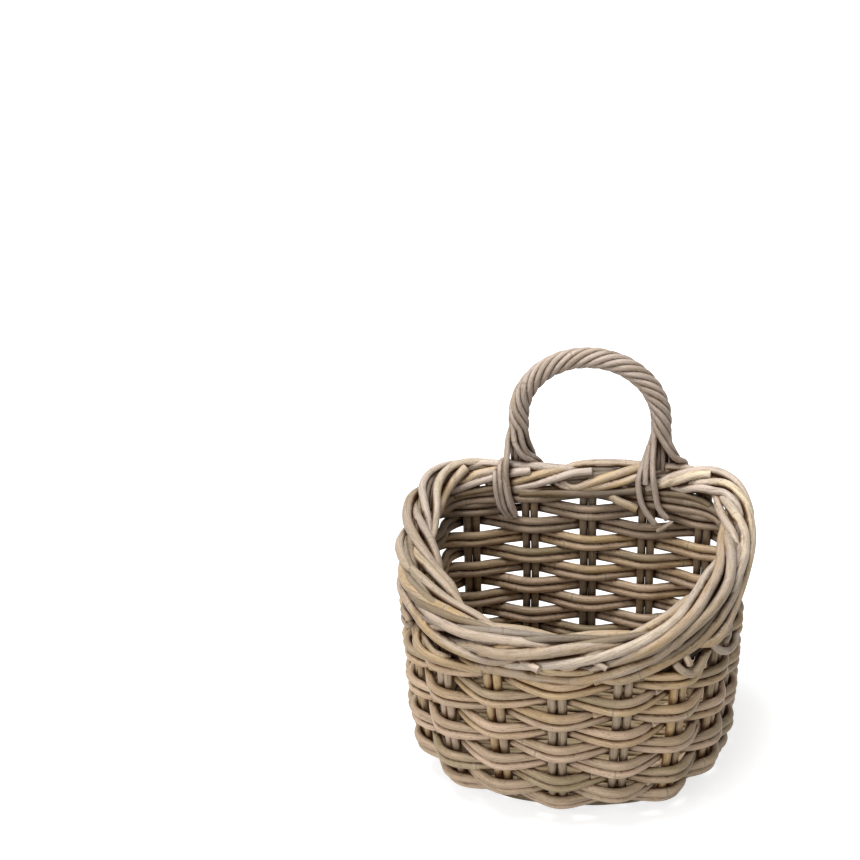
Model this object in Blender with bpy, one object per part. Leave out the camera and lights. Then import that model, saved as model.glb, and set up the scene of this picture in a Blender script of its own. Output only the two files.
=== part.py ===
"""A wall basket of round rattan rods, built rod by rod.

The plan is a soft D: a nearly flat back that hangs on the wall and a round front. Pairs of
stakes stand round a mat base, doubled weavers run in front of one pair and behind the next,
a rope of border rods rolls round the rim, which is high at the back and low at the front,
and a twisted carrying loop stands on the back rim.

Metres, +Z up, +Y towards the wall. The origin is on the ground, under the middle base stick.
"""

import math

import bpy
import numpy as np

# Plan of the stake line at ground height.
HALF_WIDTH = 0.119
BACK_REACH = 0.102
FRONT_REACH = 0.119
WIDEST_LINE_Y = (FRONT_REACH - BACK_REACH) / 2.0
BACK_ROUNDNESS = 5.6
FRONT_ROUNDNESS = 2.34

# How the wall leans out as it rises, and tucks in at the foot.
LEAN_HEIGHT = 0.140
SIDE_LEAN = 0.007
FRONT_LEAN = 0.021
FOOT_TUCK = 0.005
FOOT_TUCK_HEIGHT = 0.026

# The stakes: pairs of rods, each pair one rod folded like a hairpin under the base.
STAKE_PAIRS = 18
BACK_STAKES_EACH_SIDE = 2
BACK_STAKE_PITCH = 0.048
STAKE_DIAMETER = 0.0062
STAKE_SPACING = 0.0070
STAKE_FOOT_Z = 0.0035
STAKE_FOOT_BEND = 0.006
STAKE_FOOT_LENGTH = 0.014
STAKE_BEND_ANGLES = np.radians([45.0, 90.0])
STAKE_FOLD_ANGLES = np.radians([45.0, 90.0, 135.0])

# The weavers.
WEAVER_DIAMETER = 0.0060
ROWS_ALL_ROUND = 9
FIRST_ROW_Z = 0.0145
FRONT_ROW_PITCH = 0.0131
FRONT_ROW_GAIN = 0.0001
BACK_ROW_PITCH = 0.01385
SHORT_ROW_END_STAKES = (6, 4, 2)
SEAM_STAKE = 3
WEAVER_FLAT_HALF = 0.009
WEAVER_FOLD_ANGLES = np.radians([-45.0, 0.0, 45.0])
RODS_A_ROW = 2

# The rope border round the rim.
FRONT_RIM_Z = 0.1555
BACK_RIM_Z = 0.1862
RIM_LEVEL_DEPTH = 0.020
BORDER_STRANDS = 6
BORDER_STRAND_DIAMETER = 0.0073
BORDER_HALF_THICKNESS = 0.0122
BORDER_HALF_HEIGHT_BACK = 0.0124
BORDER_HALF_HEIGHT_FRONT = 0.0185
BORDER_TURNS = 5
BORDER_POINTS = 60

# The twisted carrying loop.
LOOP_HALF_WIDTH = 0.0575
LOOP_LEG_HEIGHT = 0.0368
LOOP_ARCH_RISE = 0.052
LOOP_CORE_DIAMETER = 0.0070
LOOP_CORE_POINTS = 22
LOOP_SAMPLES = 240
LOOP_STRANDS = 7
LOOP_STRAND_DIAMETER = 0.0044
LOOP_WINDING_GAP = 0.0009
LOOP_TURNS = 4
LOOP_POINTS_A_TURN = 8
LOOP_FIRST_PHASE = math.radians(-18.0)
LOOP_SHOULDER_ANGLES = np.radians([28.0, 50.0, 72.0, 90.0])
LOOP_TAIL_GAP = 0.0008
LOOP_TAIL_PITCH = 0.0052
LOOP_TAIL_DROP = 0.0362
LOOP_UNWOUND_LENGTH = 0.0071
WALL_FLAT_DEPTH = 0.0008

# The base: sticks from front to back, and a mat of rod laid across them.
BASE_STICKS = 5
BASE_STICK_DIAMETER = 0.008
BASE_SPREAD_SHARE = 0.6
BASE_FLAT_DEPTH = 0.0008
STICK_END_GAP = 0.0006
MAT_PITCH = 0.0068

# A rod has six sides, and each side's middle lies nearer its axis than its edges do.
FACE_SHARE = math.cos(math.radians(30.0))
CLEARANCE = 0.0003
CUT_OVERRUN = 0.02
MERGE_DISTANCE = 0.00001
MILLIMETRE = 0.001

OUTLINE_SAMPLES = 1441


def foot_tuck(height):
    """How far the wall is drawn in near the ground: a parabola that ends at its height."""
    left = np.clip(1.0 - height / FOOT_TUCK_HEIGHT, 0.0, 1.0)
    return FOOT_TUCK * left * left


def plan_point(angle, height):
    """A point of the stake line: angle 0 is the middle of the back, then left, front, right.

    Each half of the plan is a superellipse in polar form, with its own reach and roundness.
    """
    lean = height / LEAN_HEIGHT
    half_width = HALF_WIDTH + SIDE_LEAN * lean - foot_tuck(height)
    front = FRONT_REACH + FRONT_LEAN * lean - foot_tuck(height)
    back = BACK_REACH - foot_tuck(height)
    across = np.sin(angle)
    along = np.cos(angle)
    is_back = along > 0.0
    reach = np.where(is_back, back, front)
    roundness = np.where(is_back, BACK_ROUNDNESS, FRONT_ROUNDNESS)
    sum_of_powers = (np.abs(across) / half_width) ** roundness + (np.abs(along) / reach) ** roundness
    radius = sum_of_powers ** (-1.0 / roundness)
    return -radius * across, WIDEST_LINE_Y + radius * along


def arc_table():
    """The plan's angle against the length walked round it, from the middle of the back."""
    angle = np.linspace(0.0, 2.0 * math.pi, OUTLINE_SAMPLES)
    x, y = plan_point(angle, LEAN_HEIGHT / 2.0 + np.zeros_like(angle))
    walked = np.concatenate([[0.0], np.cumsum(np.hypot(np.diff(x), np.diff(y)))])
    return angle, walked


PLAN_ANGLE, PLAN_LENGTH = arc_table()
GIRTH = float(PLAN_LENGTH[-1])


def stake_table():
    """Where each stake pair stands, as a length round the plan; pair 0 is mid back.

    The back pairs keep their own pitch and the others share out the rest evenly.
    """
    half = STAKE_PAIRS // 2
    corner = BACK_STAKES_EACH_SIDE * BACK_STAKE_PITCH
    others = (GIRTH / 2.0 - corner) / (half - BACK_STAKES_EACH_SIDE)
    left = [k * BACK_STAKE_PITCH for k in range(BACK_STAKES_EACH_SIDE)]
    left += [corner + k * others for k in range(half - BACK_STAKES_EACH_SIDE + 1)]
    right = [GIRTH - length for length in reversed(left[:-1])]
    return np.array(left + right)


STAKE_LENGTH_ROUND = stake_table()


def length_at_stake(stake):
    """The length round the plan at a stake number, whole or not, on any turn."""
    stake = np.asarray(stake, dtype=float)
    turn = np.floor(stake / STAKE_PAIRS)
    part = stake - turn * STAKE_PAIRS
    return turn * GIRTH + np.interp(part, np.arange(STAKE_PAIRS + 1), STAKE_LENGTH_ROUND)


def wall_frame(length_round, height):
    """Point of the stake line and its outward direction, for arrays of length and height."""
    angle = np.interp(np.mod(length_round, GIRTH), PLAN_LENGTH, PLAN_ANGLE)
    step = 2.0 * math.pi / OUTLINE_SAMPLES
    x, y = plan_point(angle, height)
    x0, y0 = plan_point(angle - step, height)
    x1, y1 = plan_point(angle + step, height)
    tx, ty = x1 - x0, y1 - y0
    size = np.hypot(tx, ty)
    return x, y, ty / size, -tx / size


def wall_points(length_round, height, out):
    """Points a given way outside the stake line, as rows of x, y, z."""
    x, y, nx, ny = wall_frame(length_round, height)
    return np.column_stack([x + out * nx, y + out * ny, height + np.zeros_like(x)])


def back_share(y):
    """0 at the front of the basket, 1 from a little in front of the back wall on."""
    front = WIDEST_LINE_Y - FRONT_REACH
    back = WIDEST_LINE_Y + BACK_REACH - RIM_LEVEL_DEPTH
    return np.clip((y - front) / (back - front), 0.0, 1.0)


def row_height(row, y):
    """Mid height of a doubled row; the rows are packed closer at the front than at the back."""
    front = row * FRONT_ROW_PITCH + row * row * FRONT_ROW_GAIN
    back = row * BACK_ROW_PITCH
    share = back_share(y)
    return FIRST_ROW_Z + front * (1.0 - share) + back * share


def rod_spacing(row, y):
    """Height from one rod to the next in a doubled row."""
    share = back_share(y)
    front = FRONT_ROW_PITCH + 2.0 * row * FRONT_ROW_GAIN
    return (front * (1.0 - share) + BACK_ROW_PITCH * share) / RODS_A_ROW


def rim_height(y):
    """Mid height of the border."""
    return FRONT_RIM_Z + (BACK_RIM_Z - FRONT_RIM_Z) * back_share(y)


def border_half_height(y):
    """Half the border's height, taller at the front."""
    return BORDER_HALF_HEIGHT_FRONT + (BORDER_HALF_HEIGHT_BACK - BORDER_HALF_HEIGHT_FRONT) * back_share(y)


def clear_scene():
    """Remove what is in the file."""
    for old in list(bpy.data.objects):
        bpy.data.objects.remove(old)


def make_collection(name):
    """A new collection, linked to the scene."""
    collection = bpy.data.collections.new(name)
    bpy.context.scene.collection.children.link(collection)
    return collection


def make_material(name, colour, roughness):
    """A plain Principled material."""
    material = bpy.data.materials.new(name)
    material.use_nodes = True
    shader = material.node_tree.nodes["Principled BSDF"]
    shader.inputs["Base Color"].default_value = (*colour, 1.0)
    shader.inputs["Roughness"].default_value = roughness
    shader.inputs["Metallic"].default_value = 0.0
    return material


clear_scene()
PARTS = make_collection("wall_basket")
CUTTERS = make_collection("cutters")
STAKE_CANE = make_material("stake_cane", (0.36, 0.29, 0.22), 0.6)
WEAVER_CANE = make_material("weaver_cane", (0.45, 0.36, 0.26), 0.6)
BORDER_CANE = make_material("border_cane", (0.50, 0.41, 0.30), 0.55)
LOOP_CANE = make_material("loop_cane", (0.40, 0.34, 0.27), 0.55)
BASE_CANE = make_material("base_cane", (0.24, 0.20, 0.16), 0.7)


def make_rod(name, points, diameter, material, closed=False):
    """A rod of round section along a list of points, with closed ends."""
    curve = bpy.data.curves.new(name, "CURVE")
    curve.dimensions = "3D"
    curve.bevel_depth = diameter / 2.0
    curve.bevel_resolution = 1
    curve.use_fill_caps = not closed
    spline = curve.splines.new("POLY")
    spline.points.add(len(points) - 1)
    flat = np.column_stack([points, np.ones(len(points))]).ravel()
    spline.points.foreach_set("co", flat)
    spline.use_cyclic_u = closed
    spline.use_smooth = True
    curve.materials.append(material)
    rod = bpy.data.objects.new(name, curve)
    PARTS.objects.link(rod)
    return rod


def make_mesh_of(rod):
    """Turn a rod into a mesh, so that it can be cut."""
    name = rod.name
    bpy.context.view_layer.update()
    evaluated = rod.evaluated_get(bpy.context.evaluated_depsgraph_get())
    mesh = bpy.data.meshes.new_from_object(evaluated)
    place = rod.matrix_world.copy()
    bpy.data.objects.remove(rod)
    solid = bpy.data.objects.new(name, mesh)
    solid.matrix_world = place
    PARTS.objects.link(solid)
    weld = solid.modifiers.new("join caps", "WELD")
    weld.merge_threshold = MERGE_DISTANCE
    return solid


def make_cutter(name, low, high):
    """A box that only cuts, between two corners."""
    bpy.ops.mesh.primitive_cube_add(size=1.0)
    cutter = bpy.context.object
    cutter.name = name
    low, high = np.array(low), np.array(high)
    cutter.location = (low + high) / 2.0
    cutter.scale = high - low
    cutter.hide_render = True
    cutter.display_type = "WIRE"
    for collection in list(cutter.users_collection):
        collection.objects.unlink(cutter)
    CUTTERS.objects.link(cutter)
    return cutter


def cut(solid, cutter):
    """Take the cutter's space off a solid."""
    boolean = solid.modifiers.new("flat", "BOOLEAN")
    boolean.operation = "DIFFERENCE"
    boolean.solver = "EXACT"
    boolean.object = cutter


def stake_top(length_round):
    """The stakes stop just under the border, whose lower edge slopes along the sides."""
    edge = (STAKE_SPACING + STAKE_DIAMETER) / 2.0
    places = np.array([length_round - edge, length_round + edge])
    _, y, _, _ = wall_frame(places, np.full(2, LEAN_HEIGHT))
    return float((rim_height(y) - border_half_height(y)).min()) - CLEARANCE


def make_stake_pair(number):
    """One hairpin rod: down one leg, in under the base, round and up the other leg."""
    middle = float(STAKE_LENGTH_ROUND[number])
    x, y, nx, ny = wall_frame(np.array([middle]), np.array([FOOT_TUCK_HEIGHT]))
    inward = np.array([-nx[0], -ny[0], 0.0])
    sideways = np.array([-ny[0], nx[0], 0.0])
    top_z = stake_top(middle)
    bend_top = STAKE_FOOT_Z + STAKE_FOOT_BEND
    heights = np.array([top_z, FOOT_TUCK_HEIGHT, (FOOT_TUCK_HEIGHT + bend_top) / 2.0, bend_top])
    leg = wall_points(np.full(len(heights), middle), heights, 0.0)
    reach = STAKE_FOOT_BEND * (1.0 - np.cos(STAKE_BEND_ANGLES))
    drop = STAKE_FOOT_BEND * np.sin(STAKE_BEND_ANGLES)
    bend = leg[-1] + reach[:, None] * inward - np.column_stack([0 * drop, 0 * drop, drop])
    foot = bend[-1] + STAKE_FOOT_LENGTH * inward
    profile = np.vstack([leg, bend, foot])
    half = STAKE_SPACING / 2.0
    fold = [foot + half * (math.cos(a) * sideways + math.sin(a) * inward) for a in STAKE_FOLD_ANGLES]
    down = profile + half * sideways
    up = profile[::-1] - half * sideways
    points = np.vstack([down, fold, up])
    make_rod(f"stake_pair_{number + 1:02d}", points, STAKE_DIAMETER, STAKE_CANE)


WEAVE_REACH = (STAKE_DIAMETER + WEAVER_DIAMETER) / 2.0 + CLEARANCE


def weave_side(stake, row):
    """Plus one where a row passes outside a stake pair, minus one where it passes inside."""
    return np.where((np.asarray(stake) + row) % 2 == 1, 1.0, -1.0)


def weave_points(first, last, row, lift):
    """Points of a weaver from one stake pair to another, two at each pair.

    The rod lies straight along each pair, on its outer or inner side, and crosses between
    the pairs. The lift is in rods above the row's middle.
    """
    stakes = np.arange(first, last + 1)
    length = length_at_stake(stakes)
    guess = FIRST_ROW_Z + row * FRONT_ROW_PITCH + np.zeros_like(length)
    _, y, _, _ = wall_frame(length, guess)
    side = weave_side(stakes, row) * WEAVE_REACH
    height = row_height(row, y) + lift * rod_spacing(row, y)
    px, py, nx, ny = wall_frame(length, height)
    pieces = []
    for along in (-WEAVER_FLAT_HALF, WEAVER_FLAT_HALF):
        pieces.append(np.column_stack([px + side * nx - along * ny, py + side * ny + along * nx, height]))
    return np.stack(pieces, axis=1).reshape(-1, 3)


def make_full_row(row):
    """One long rod that winds twice round the basket and steps up a rod at the seam."""
    turns = []
    for turn in range(RODS_A_ROW):
        lift = turn - (RODS_A_ROW - 1) / 2.0
        turns.append(weave_points(SEAM_STAKE, SEAM_STAKE + STAKE_PAIRS - 1, row, lift))
    make_rod(f"weaver_row_{row + 1:02d}", np.vstack(turns), WEAVER_DIAMETER, WEAVER_CANE)


def make_short_row(row, end_stake):
    """A doubled rod across the back only: it runs out, folds past the last pair and comes back."""
    lower = weave_points(-end_stake, end_stake, row, -0.5)
    upper = weave_points(-end_stake, end_stake, row, 0.5)
    last = lower[-1] - lower[-2]
    along = last / np.linalg.norm(last)
    radius = (upper[-1, 2] - lower[-1, 2]) / 2.0
    centre = (upper[-1] + lower[-1]) / 2.0
    fold = []
    for angle in WEAVER_FOLD_ANGLES:
        rise = np.array([0.0, 0.0, radius * math.sin(angle)])
        fold.append(centre + radius * math.cos(angle) * along + rise)
    points = np.vstack([lower, fold, upper[::-1]])
    make_rod(f"weaver_row_{row + 1:02d}", points, WEAVER_DIAMETER, WEAVER_CANE)


def border_points(length_round, phase, inset):
    """Points round the rim's middle line: phase 0 is outside, a quarter turn is on top."""
    height = LEAN_HEIGHT + np.zeros_like(length_round)
    x, y, nx, ny = wall_frame(length_round, height)
    out = (BORDER_HALF_THICKNESS - inset) * np.cos(phase)
    up = (border_half_height(y) - inset) * np.sin(phase)
    return np.column_stack([x + out * nx, y + out * ny, rim_height(y) + up])


def make_border_strand(number):
    """One strand of the rope border: a helix that closes on itself after the whole rim."""
    share = np.arange(BORDER_POINTS) / BORDER_POINTS
    phase = 2.0 * math.pi * (number / BORDER_STRANDS + BORDER_TURNS * share)
    points = border_points(share * GIRTH, phase, BORDER_STRAND_DIAMETER / 2.0)
    make_rod(f"border_strand_{number + 1}", points, BORDER_STRAND_DIAMETER, BORDER_CANE, closed=True)


LOOP_PLANE_Y = WIDEST_LINE_Y + BACK_REACH
LOOP_FOOT_Z = BACK_RIM_Z + BORDER_HALF_HEIGHT_BACK + CLEARANCE
LOOP_SPRING_Z = LOOP_FOOT_Z + LOOP_LEG_HEIGHT
LOOP_REACH = (LOOP_CORE_DIAMETER + LOOP_STRAND_DIAMETER) / 2.0 + LOOP_WINDING_GAP
LOOP_TAIL_REACH = BORDER_HALF_THICKNESS + LOOP_STRAND_DIAMETER / 2.0 + LOOP_TAIL_GAP
WALL_Y = LOOP_PLANE_Y + LOOP_TAIL_REACH + LOOP_STRAND_DIAMETER / 2.0 - WALL_FLAT_DEPTH


def loop_table():
    """The loop's middle line from its left foot to its right, and the length along it."""
    leg = np.linspace(LOOP_FOOT_Z, LOOP_SPRING_Z, LOOP_SAMPLES)
    angle = np.linspace(math.pi, 0.0, LOOP_SAMPLES)[1:-1]
    x = np.concatenate([-LOOP_HALF_WIDTH + 0 * leg, LOOP_HALF_WIDTH * np.cos(angle), LOOP_HALF_WIDTH + 0 * leg])
    z = np.concatenate([leg, LOOP_SPRING_Z + LOOP_ARCH_RISE * np.sin(angle), leg[::-1]])
    walked = np.concatenate([[0.0], np.cumsum(np.hypot(np.diff(x), np.diff(z)))])
    return x, z, walked


def loop_frame(share):
    """Point of the middle line and the direction square to it in the loop's plane."""
    x, z, walked = loop_table()
    length = share * walked[-1]
    px, pz = np.interp(length, walked, x), np.interp(length, walked, z)
    step = LOOP_STRAND_DIAMETER / 2.0
    dx = np.interp(length + step, walked, x) - np.interp(length - step, walked, x)
    dz = np.interp(length + step, walked, z) - np.interp(length - step, walked, z)
    size = np.hypot(dx, dz)
    return px, pz, -dz / size, dx / size


def make_loop_core():
    """The rod inside the rope."""
    share = np.linspace(0.0, 1.0, LOOP_CORE_POINTS)
    x, z, _, _ = loop_frame(share)
    points = np.column_stack([x, LOOP_PLANE_Y + 0 * x, z])
    make_rod("handle_core", points, LOOP_CORE_DIAMETER, LOOP_CANE)


def tail_places(phases):
    """Which face of the border each strand's tails lie on, and their places across the foot.

    Strands on the wall's side of the loop have face plus one, the others minus one. Those on
    one face lie side by side, in the order in which they leave the rope.
    """
    faces = np.where(np.sin(phases) > 0.0, 1, -1)
    places = np.zeros(len(phases))
    for face in (-1, 1):
        members = np.flatnonzero(faces == face)
        order = members[np.argsort(np.cos(phases[members]))]
        places[order] = LOOP_TAIL_PITCH * (np.arange(len(order)) - (len(order) - 1) / 2.0)
    return faces, places


def loop_tail(x, face):
    """The end of a strand: over the border's shoulder and down its inner or outer face."""
    points = []
    for angle in LOOP_SHOULDER_ANGLES:
        y = LOOP_PLANE_Y + face * LOOP_TAIL_REACH * math.sin(angle)
        z = BACK_RIM_Z + (LOOP_TAIL_REACH + BORDER_HALF_HEIGHT_BACK - BORDER_HALF_THICKNESS) * math.cos(angle)
        points.append((x, y, z))
    points.append((x, LOOP_PLANE_Y + face * LOOP_TAIL_REACH, BACK_RIM_Z - LOOP_TAIL_DROP))
    return np.array(points)


def make_loop_strands(wall_cutter):
    """The rods of the rope, wound round the core, each with both tails down a face of the border."""
    _, _, walked = loop_table()
    unwound = LOOP_UNWOUND_LENGTH / walked[-1]
    turns = np.linspace(0.0, LOOP_TURNS, LOOP_TURNS * LOOP_POINTS_A_TURN + 1)
    x, z, sx, sz = loop_frame(unwound + (1.0 - 2.0 * unwound) * turns / LOOP_TURNS)
    firsts = LOOP_FIRST_PHASE + 2.0 * math.pi * np.arange(LOOP_STRANDS) / LOOP_STRANDS
    faces, places = tail_places(firsts)
    for number in range(LOOP_STRANDS):
        phase = firsts[number] + 2.0 * math.pi * turns
        side = LOOP_REACH * np.cos(phase)
        wound = np.column_stack([x + side * sx, LOOP_PLANE_Y + LOOP_REACH * np.sin(phase), z + side * sz])
        left = loop_tail(-LOOP_HALF_WIDTH - places[number], faces[number])
        right = loop_tail(LOOP_HALF_WIDTH + places[number], faces[number])
        points = np.vstack([left[::-1], wound, right])
        rod = make_rod(f"handle_strand_{number + 1}", points, LOOP_STRAND_DIAMETER, LOOP_CANE)
        if faces[number] > 0:
            cut(make_mesh_of(rod), wall_cutter)


def inner_ring(height, inset):
    """The plan at a height, drawn in all round."""
    length = np.linspace(0.0, GIRTH, OUTLINE_SAMPLES)
    return wall_points(length, height + np.zeros_like(length), -inset)


def half_width_at(ring, y, margin):
    """Half the width of a ring at a place along y, the narrower of the two margins."""
    left = ring[ring[:, 0] < 0.0]
    order = np.argsort(left[:, 1])
    edges = [np.interp(y + side * margin, left[order, 1], -left[order, 0]) for side in (-1.0, 1.0)]
    return float(min(edges))


def depth_at(ring, x, margin):
    """The front and the back of a ring at a place along x, the nearer of the two margins."""
    ends = []
    for face in (-1.0, 1.0):
        half = ring[face * (ring[:, 1] - WIDEST_LINE_Y) > 0.0]
        order = np.argsort(half[:, 0])
        reach = [face * np.interp(x + side * margin, half[order, 0], half[order, 1]) for side in (-1.0, 1.0)]
        ends.append(face * float(min(reach)))
    return ends


def make_base_stick(number, ground_cutter):
    """A stick from front to back, flat underneath where the basket stands."""
    x = (2.0 * number / (BASE_STICKS - 1) - 1.0) * BASE_SPREAD_SHARE * HALF_WIDTH
    z = BASE_STICK_DIAMETER / 2.0 - BASE_FLAT_DEPTH
    foot_reach = STAKE_FOOT_BEND + STAKE_FOOT_LENGTH + (STAKE_SPACING + STAKE_DIAMETER) / 2.0
    ring = inner_ring(STAKE_FOOT_Z + STAKE_FOOT_BEND, foot_reach + STICK_END_GAP)
    front, back = depth_at(ring, x, BASE_STICK_DIAMETER / 2.0)
    points = np.array([[x, front, z], [x, back, z]])
    stick = make_mesh_of(make_rod(f"base_stick_{number + 1}", points, BASE_STICK_DIAMETER, BASE_CANE))
    cut(stick, ground_cutter)


def make_base_mat():
    """One rod laid to and fro across the sticks, from the front of the base to the back."""
    stick_z = BASE_STICK_DIAMETER / 2.0 - BASE_FLAT_DEPTH
    z = stick_z + (BASE_STICK_DIAMETER + WEAVER_DIAMETER) / 2.0 * FACE_SHARE + CLEARANCE
    ring = inner_ring(z, WEAVE_REACH + WEAVER_DIAMETER + CLEARANCE)
    front, back = ring[:, 1].min(), ring[:, 1].max()
    runs = int((back - front - WEAVER_DIAMETER) / MAT_PITCH)
    points = []
    for run in range(runs):
        y = (front + back) / 2.0 + (run - (runs - 1) / 2.0) * MAT_PITCH
        half = half_width_at(ring, y, MAT_PITCH) - MAT_PITCH / 2.0
        side = 1.0 if run % 2 == 0 else -1.0
        points += [(-side * half, y, z), (side * half, y, z)]
        if run < runs - 1:
            points.append((side * (half + MAT_PITCH / 2.0), y + MAT_PITCH / 2.0, z))
    make_rod("base_mat", np.array(points), WEAVER_DIAMETER, BASE_CANE)


ground_cutter = make_cutter("ground_cutter", (-HALF_WIDTH, -HALF_WIDTH, -CUT_OVERRUN), (HALF_WIDTH, HALF_WIDTH, 0.0))

wall_low = (-HALF_WIDTH, WALL_Y, BACK_RIM_Z - LOOP_TAIL_DROP - CUT_OVERRUN)
wall_high = (HALF_WIDTH, WALL_Y + CUT_OVERRUN, LOOP_SPRING_Z + LOOP_ARCH_RISE)
wall_cutter = make_cutter("wall_cutter", wall_low, wall_high)

for number in range(STAKE_PAIRS):
    make_stake_pair(number)
for row in range(ROWS_ALL_ROUND):
    make_full_row(row)
for extra, end_stake in enumerate(SHORT_ROW_END_STAKES):
    make_short_row(ROWS_ALL_ROUND + extra, end_stake)
for number in range(BORDER_STRANDS):
    make_border_strand(number)
make_loop_core()
make_loop_strands(wall_cutter)
for number in range(BASE_STICKS):
    make_base_stick(number, ground_cutter)
make_base_mat()
print("rods", len(PARTS.objects), "girth in mm", round(GIRTH / MILLIMETRE, 1))
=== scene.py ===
# %% [markdown]
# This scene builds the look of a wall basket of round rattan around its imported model. The
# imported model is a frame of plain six-sided rods that says where everything is. Here each rod
# becomes a smooth cane with its knots, cut ends and dry, mottled skin.

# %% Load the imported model
import math

import bpy
import numpy as np
from mathutils import Matrix, Vector


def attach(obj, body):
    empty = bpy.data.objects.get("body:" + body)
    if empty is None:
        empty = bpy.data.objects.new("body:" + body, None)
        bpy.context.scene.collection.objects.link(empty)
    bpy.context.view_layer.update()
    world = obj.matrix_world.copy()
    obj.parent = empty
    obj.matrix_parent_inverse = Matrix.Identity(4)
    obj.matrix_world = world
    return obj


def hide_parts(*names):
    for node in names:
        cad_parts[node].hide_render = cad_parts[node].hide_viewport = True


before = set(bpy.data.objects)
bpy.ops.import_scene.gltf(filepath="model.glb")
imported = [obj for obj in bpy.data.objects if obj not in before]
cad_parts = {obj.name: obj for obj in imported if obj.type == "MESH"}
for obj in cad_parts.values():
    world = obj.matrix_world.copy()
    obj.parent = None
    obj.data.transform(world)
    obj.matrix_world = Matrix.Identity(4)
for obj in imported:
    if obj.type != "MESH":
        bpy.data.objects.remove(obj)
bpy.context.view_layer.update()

random = np.random.default_rng(41)
print("packed nodes:", len(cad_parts))

# %% [markdown]
# The plan of the basket is a soft D: a nearly flat back and a round front. Each half of it is a
# superellipse in polar form. A point of the wall is named by how far round the plan it lies and
# how high it is, because canes run round and stakes run up.

# %% The plan of the wall
HALF_WIDTH, BACK_REACH, FRONT_REACH = 0.119, 0.102, 0.119
BACK_ROUNDNESS, FRONT_ROUNDNESS = 5.6, 2.34
WIDEST_LINE_Y = (FRONT_REACH - BACK_REACH) / 2
LEAN_HEIGHT, SIDE_LEAN, FRONT_LEAN = 0.140, 0.007, 0.021
FOOT_TUCK, FOOT_TUCK_HEIGHT = 0.020, 0.040


def plan_point(angle, height):
    """The stake line at an angle from mid back, towards the left: r = (|sin/w|^n + |cos/d|^n)^(-1/n).

    w is half the width and d the reach of that half. Both grow with height as the wall leans
    out, and shrink by a parabola near the ground.
    """
    height = height + 0 * angle
    lean = height / LEAN_HEIGHT
    tuck = FOOT_TUCK * np.clip(1 - height / FOOT_TUCK_HEIGHT, 0, 1) ** 2
    across, along = np.sin(angle), np.cos(angle)
    back = along > 0
    reach = np.where(back, BACK_REACH, FRONT_REACH + FRONT_LEAN * lean) - tuck
    power = np.where(back, BACK_ROUNDNESS, FRONT_ROUNDNESS)
    width = HALF_WIDTH + SIDE_LEAN * lean - tuck
    radius = (np.abs(across / width) ** power + np.abs(along / reach) ** power) ** (-1 / power)
    return -radius * across, WIDEST_LINE_Y + radius * along


PLAN_ANGLE = np.linspace(0, 2 * math.pi, 1441)
plan_x, plan_y = plan_point(PLAN_ANGLE, LEAN_HEIGHT / 2)
PLAN_LENGTH = np.concatenate([[0], np.cumsum(np.hypot(np.diff(plan_x), np.diff(plan_y)))])
GIRTH = PLAN_LENGTH[-1]
STAKES = 18
BACK_PITCH = 0.048
side_pitch = (GIRTH / 2 - 2 * BACK_PITCH) / (STAKES // 2 - 2)
left_half = [0, BACK_PITCH] + [2 * BACK_PITCH + k * side_pitch for k in range(STAKES // 2 - 1)]
STAKE_LENGTHS = np.array(left_half + [GIRTH - length for length in left_half[-2::-1]])
print("girth in mm:", round(GIRTH * 1000, 1), "side pitch in mm:", round(side_pitch * 1000, 1))


# %% Points on the wall
RIGHT_SHIFT, RIGHT_EDGE = 0.0055, 0.120
BACK_BAND = 0.020
FRONT_RIM_Z, RIM_RISE = 0.1555, 0.0307
FRONT_HALF_HEIGHT, BORDER_THINNING = 0.0185, 0.0061


def length_at(stake):
    """Length round the plan at a stake number, whole or not, on any turn."""
    turn = np.floor(stake / STAKES)
    return turn * GIRTH + np.interp(stake - turn * STAKES, np.arange(STAKES + 1), STAKE_LENGTHS)


def drawn_in(x):
    """The real basket's right side stands closer in: 5.5 mm times the cube of x over 120 mm."""
    return x - RIGHT_SHIFT * (np.clip(x, 0, None) / RIGHT_EDGE) ** 3


def wall_frame(length, height):
    """The stake line's place x, y and its outward direction, from the line's two neighbours."""
    angle = np.interp(np.mod(length, GIRTH), PLAN_LENGTH, PLAN_ANGLE)
    x, y = plan_point(angle, height)
    x0, y0 = plan_point(angle - 0.004, height)
    x1, y1 = plan_point(angle + 0.004, height)
    x, x0, x1 = drawn_in(x), drawn_in(x0), drawn_in(x1)
    size = np.hypot(x1 - x0, y1 - y0)
    return x, y, (y1 - y0) / size, (x0 - x1) / size


def wall_point(length, height, out):
    """A point that stands a way outside the stake line: place + out times the outward direction."""
    x, y, nx, ny = wall_frame(length, height)
    return np.stack([x + out * nx, y + out * ny, height + 0 * x], axis=-1)


def back_share(y):
    """0 at the front of the basket, 1 from just in front of the back wall on."""
    front, back = WIDEST_LINE_Y - FRONT_REACH, WIDEST_LINE_Y + BACK_REACH - BACK_BAND
    return np.clip((y - front) / (back - front), 0, 1)


def rim_height(y):
    """Mid height of the border, which climbs evenly from the front to the back."""
    return FRONT_RIM_Z + RIM_RISE * back_share(y)


def border_half_height(y):
    """Half the border's height, which is taller at the front."""
    return FRONT_HALF_HEIGHT - BORDER_THINNING * back_share(y)


print("rim height in mm, front and back:", np.round(rim_height(np.array([-1.0, 1.0])) * 1000, 1))

# %% [markdown]
# Every piece of this basket is a cane, so one function makes them all. A cane is a round section
# carried along a line. The section needs a side to start from at each point; giving that side
# by a reference direction, such as straight up for a rod that runs round, keeps it from
# twisting. Real canes are never quite even, so the radius drifts a little along the length
# and swells at each knot.

# %% Lines and small wanderings
def unit(vectors):
    """Vectors made one long."""
    return vectors / np.linalg.norm(vectors, axis=-1, keepdims=True)


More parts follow.
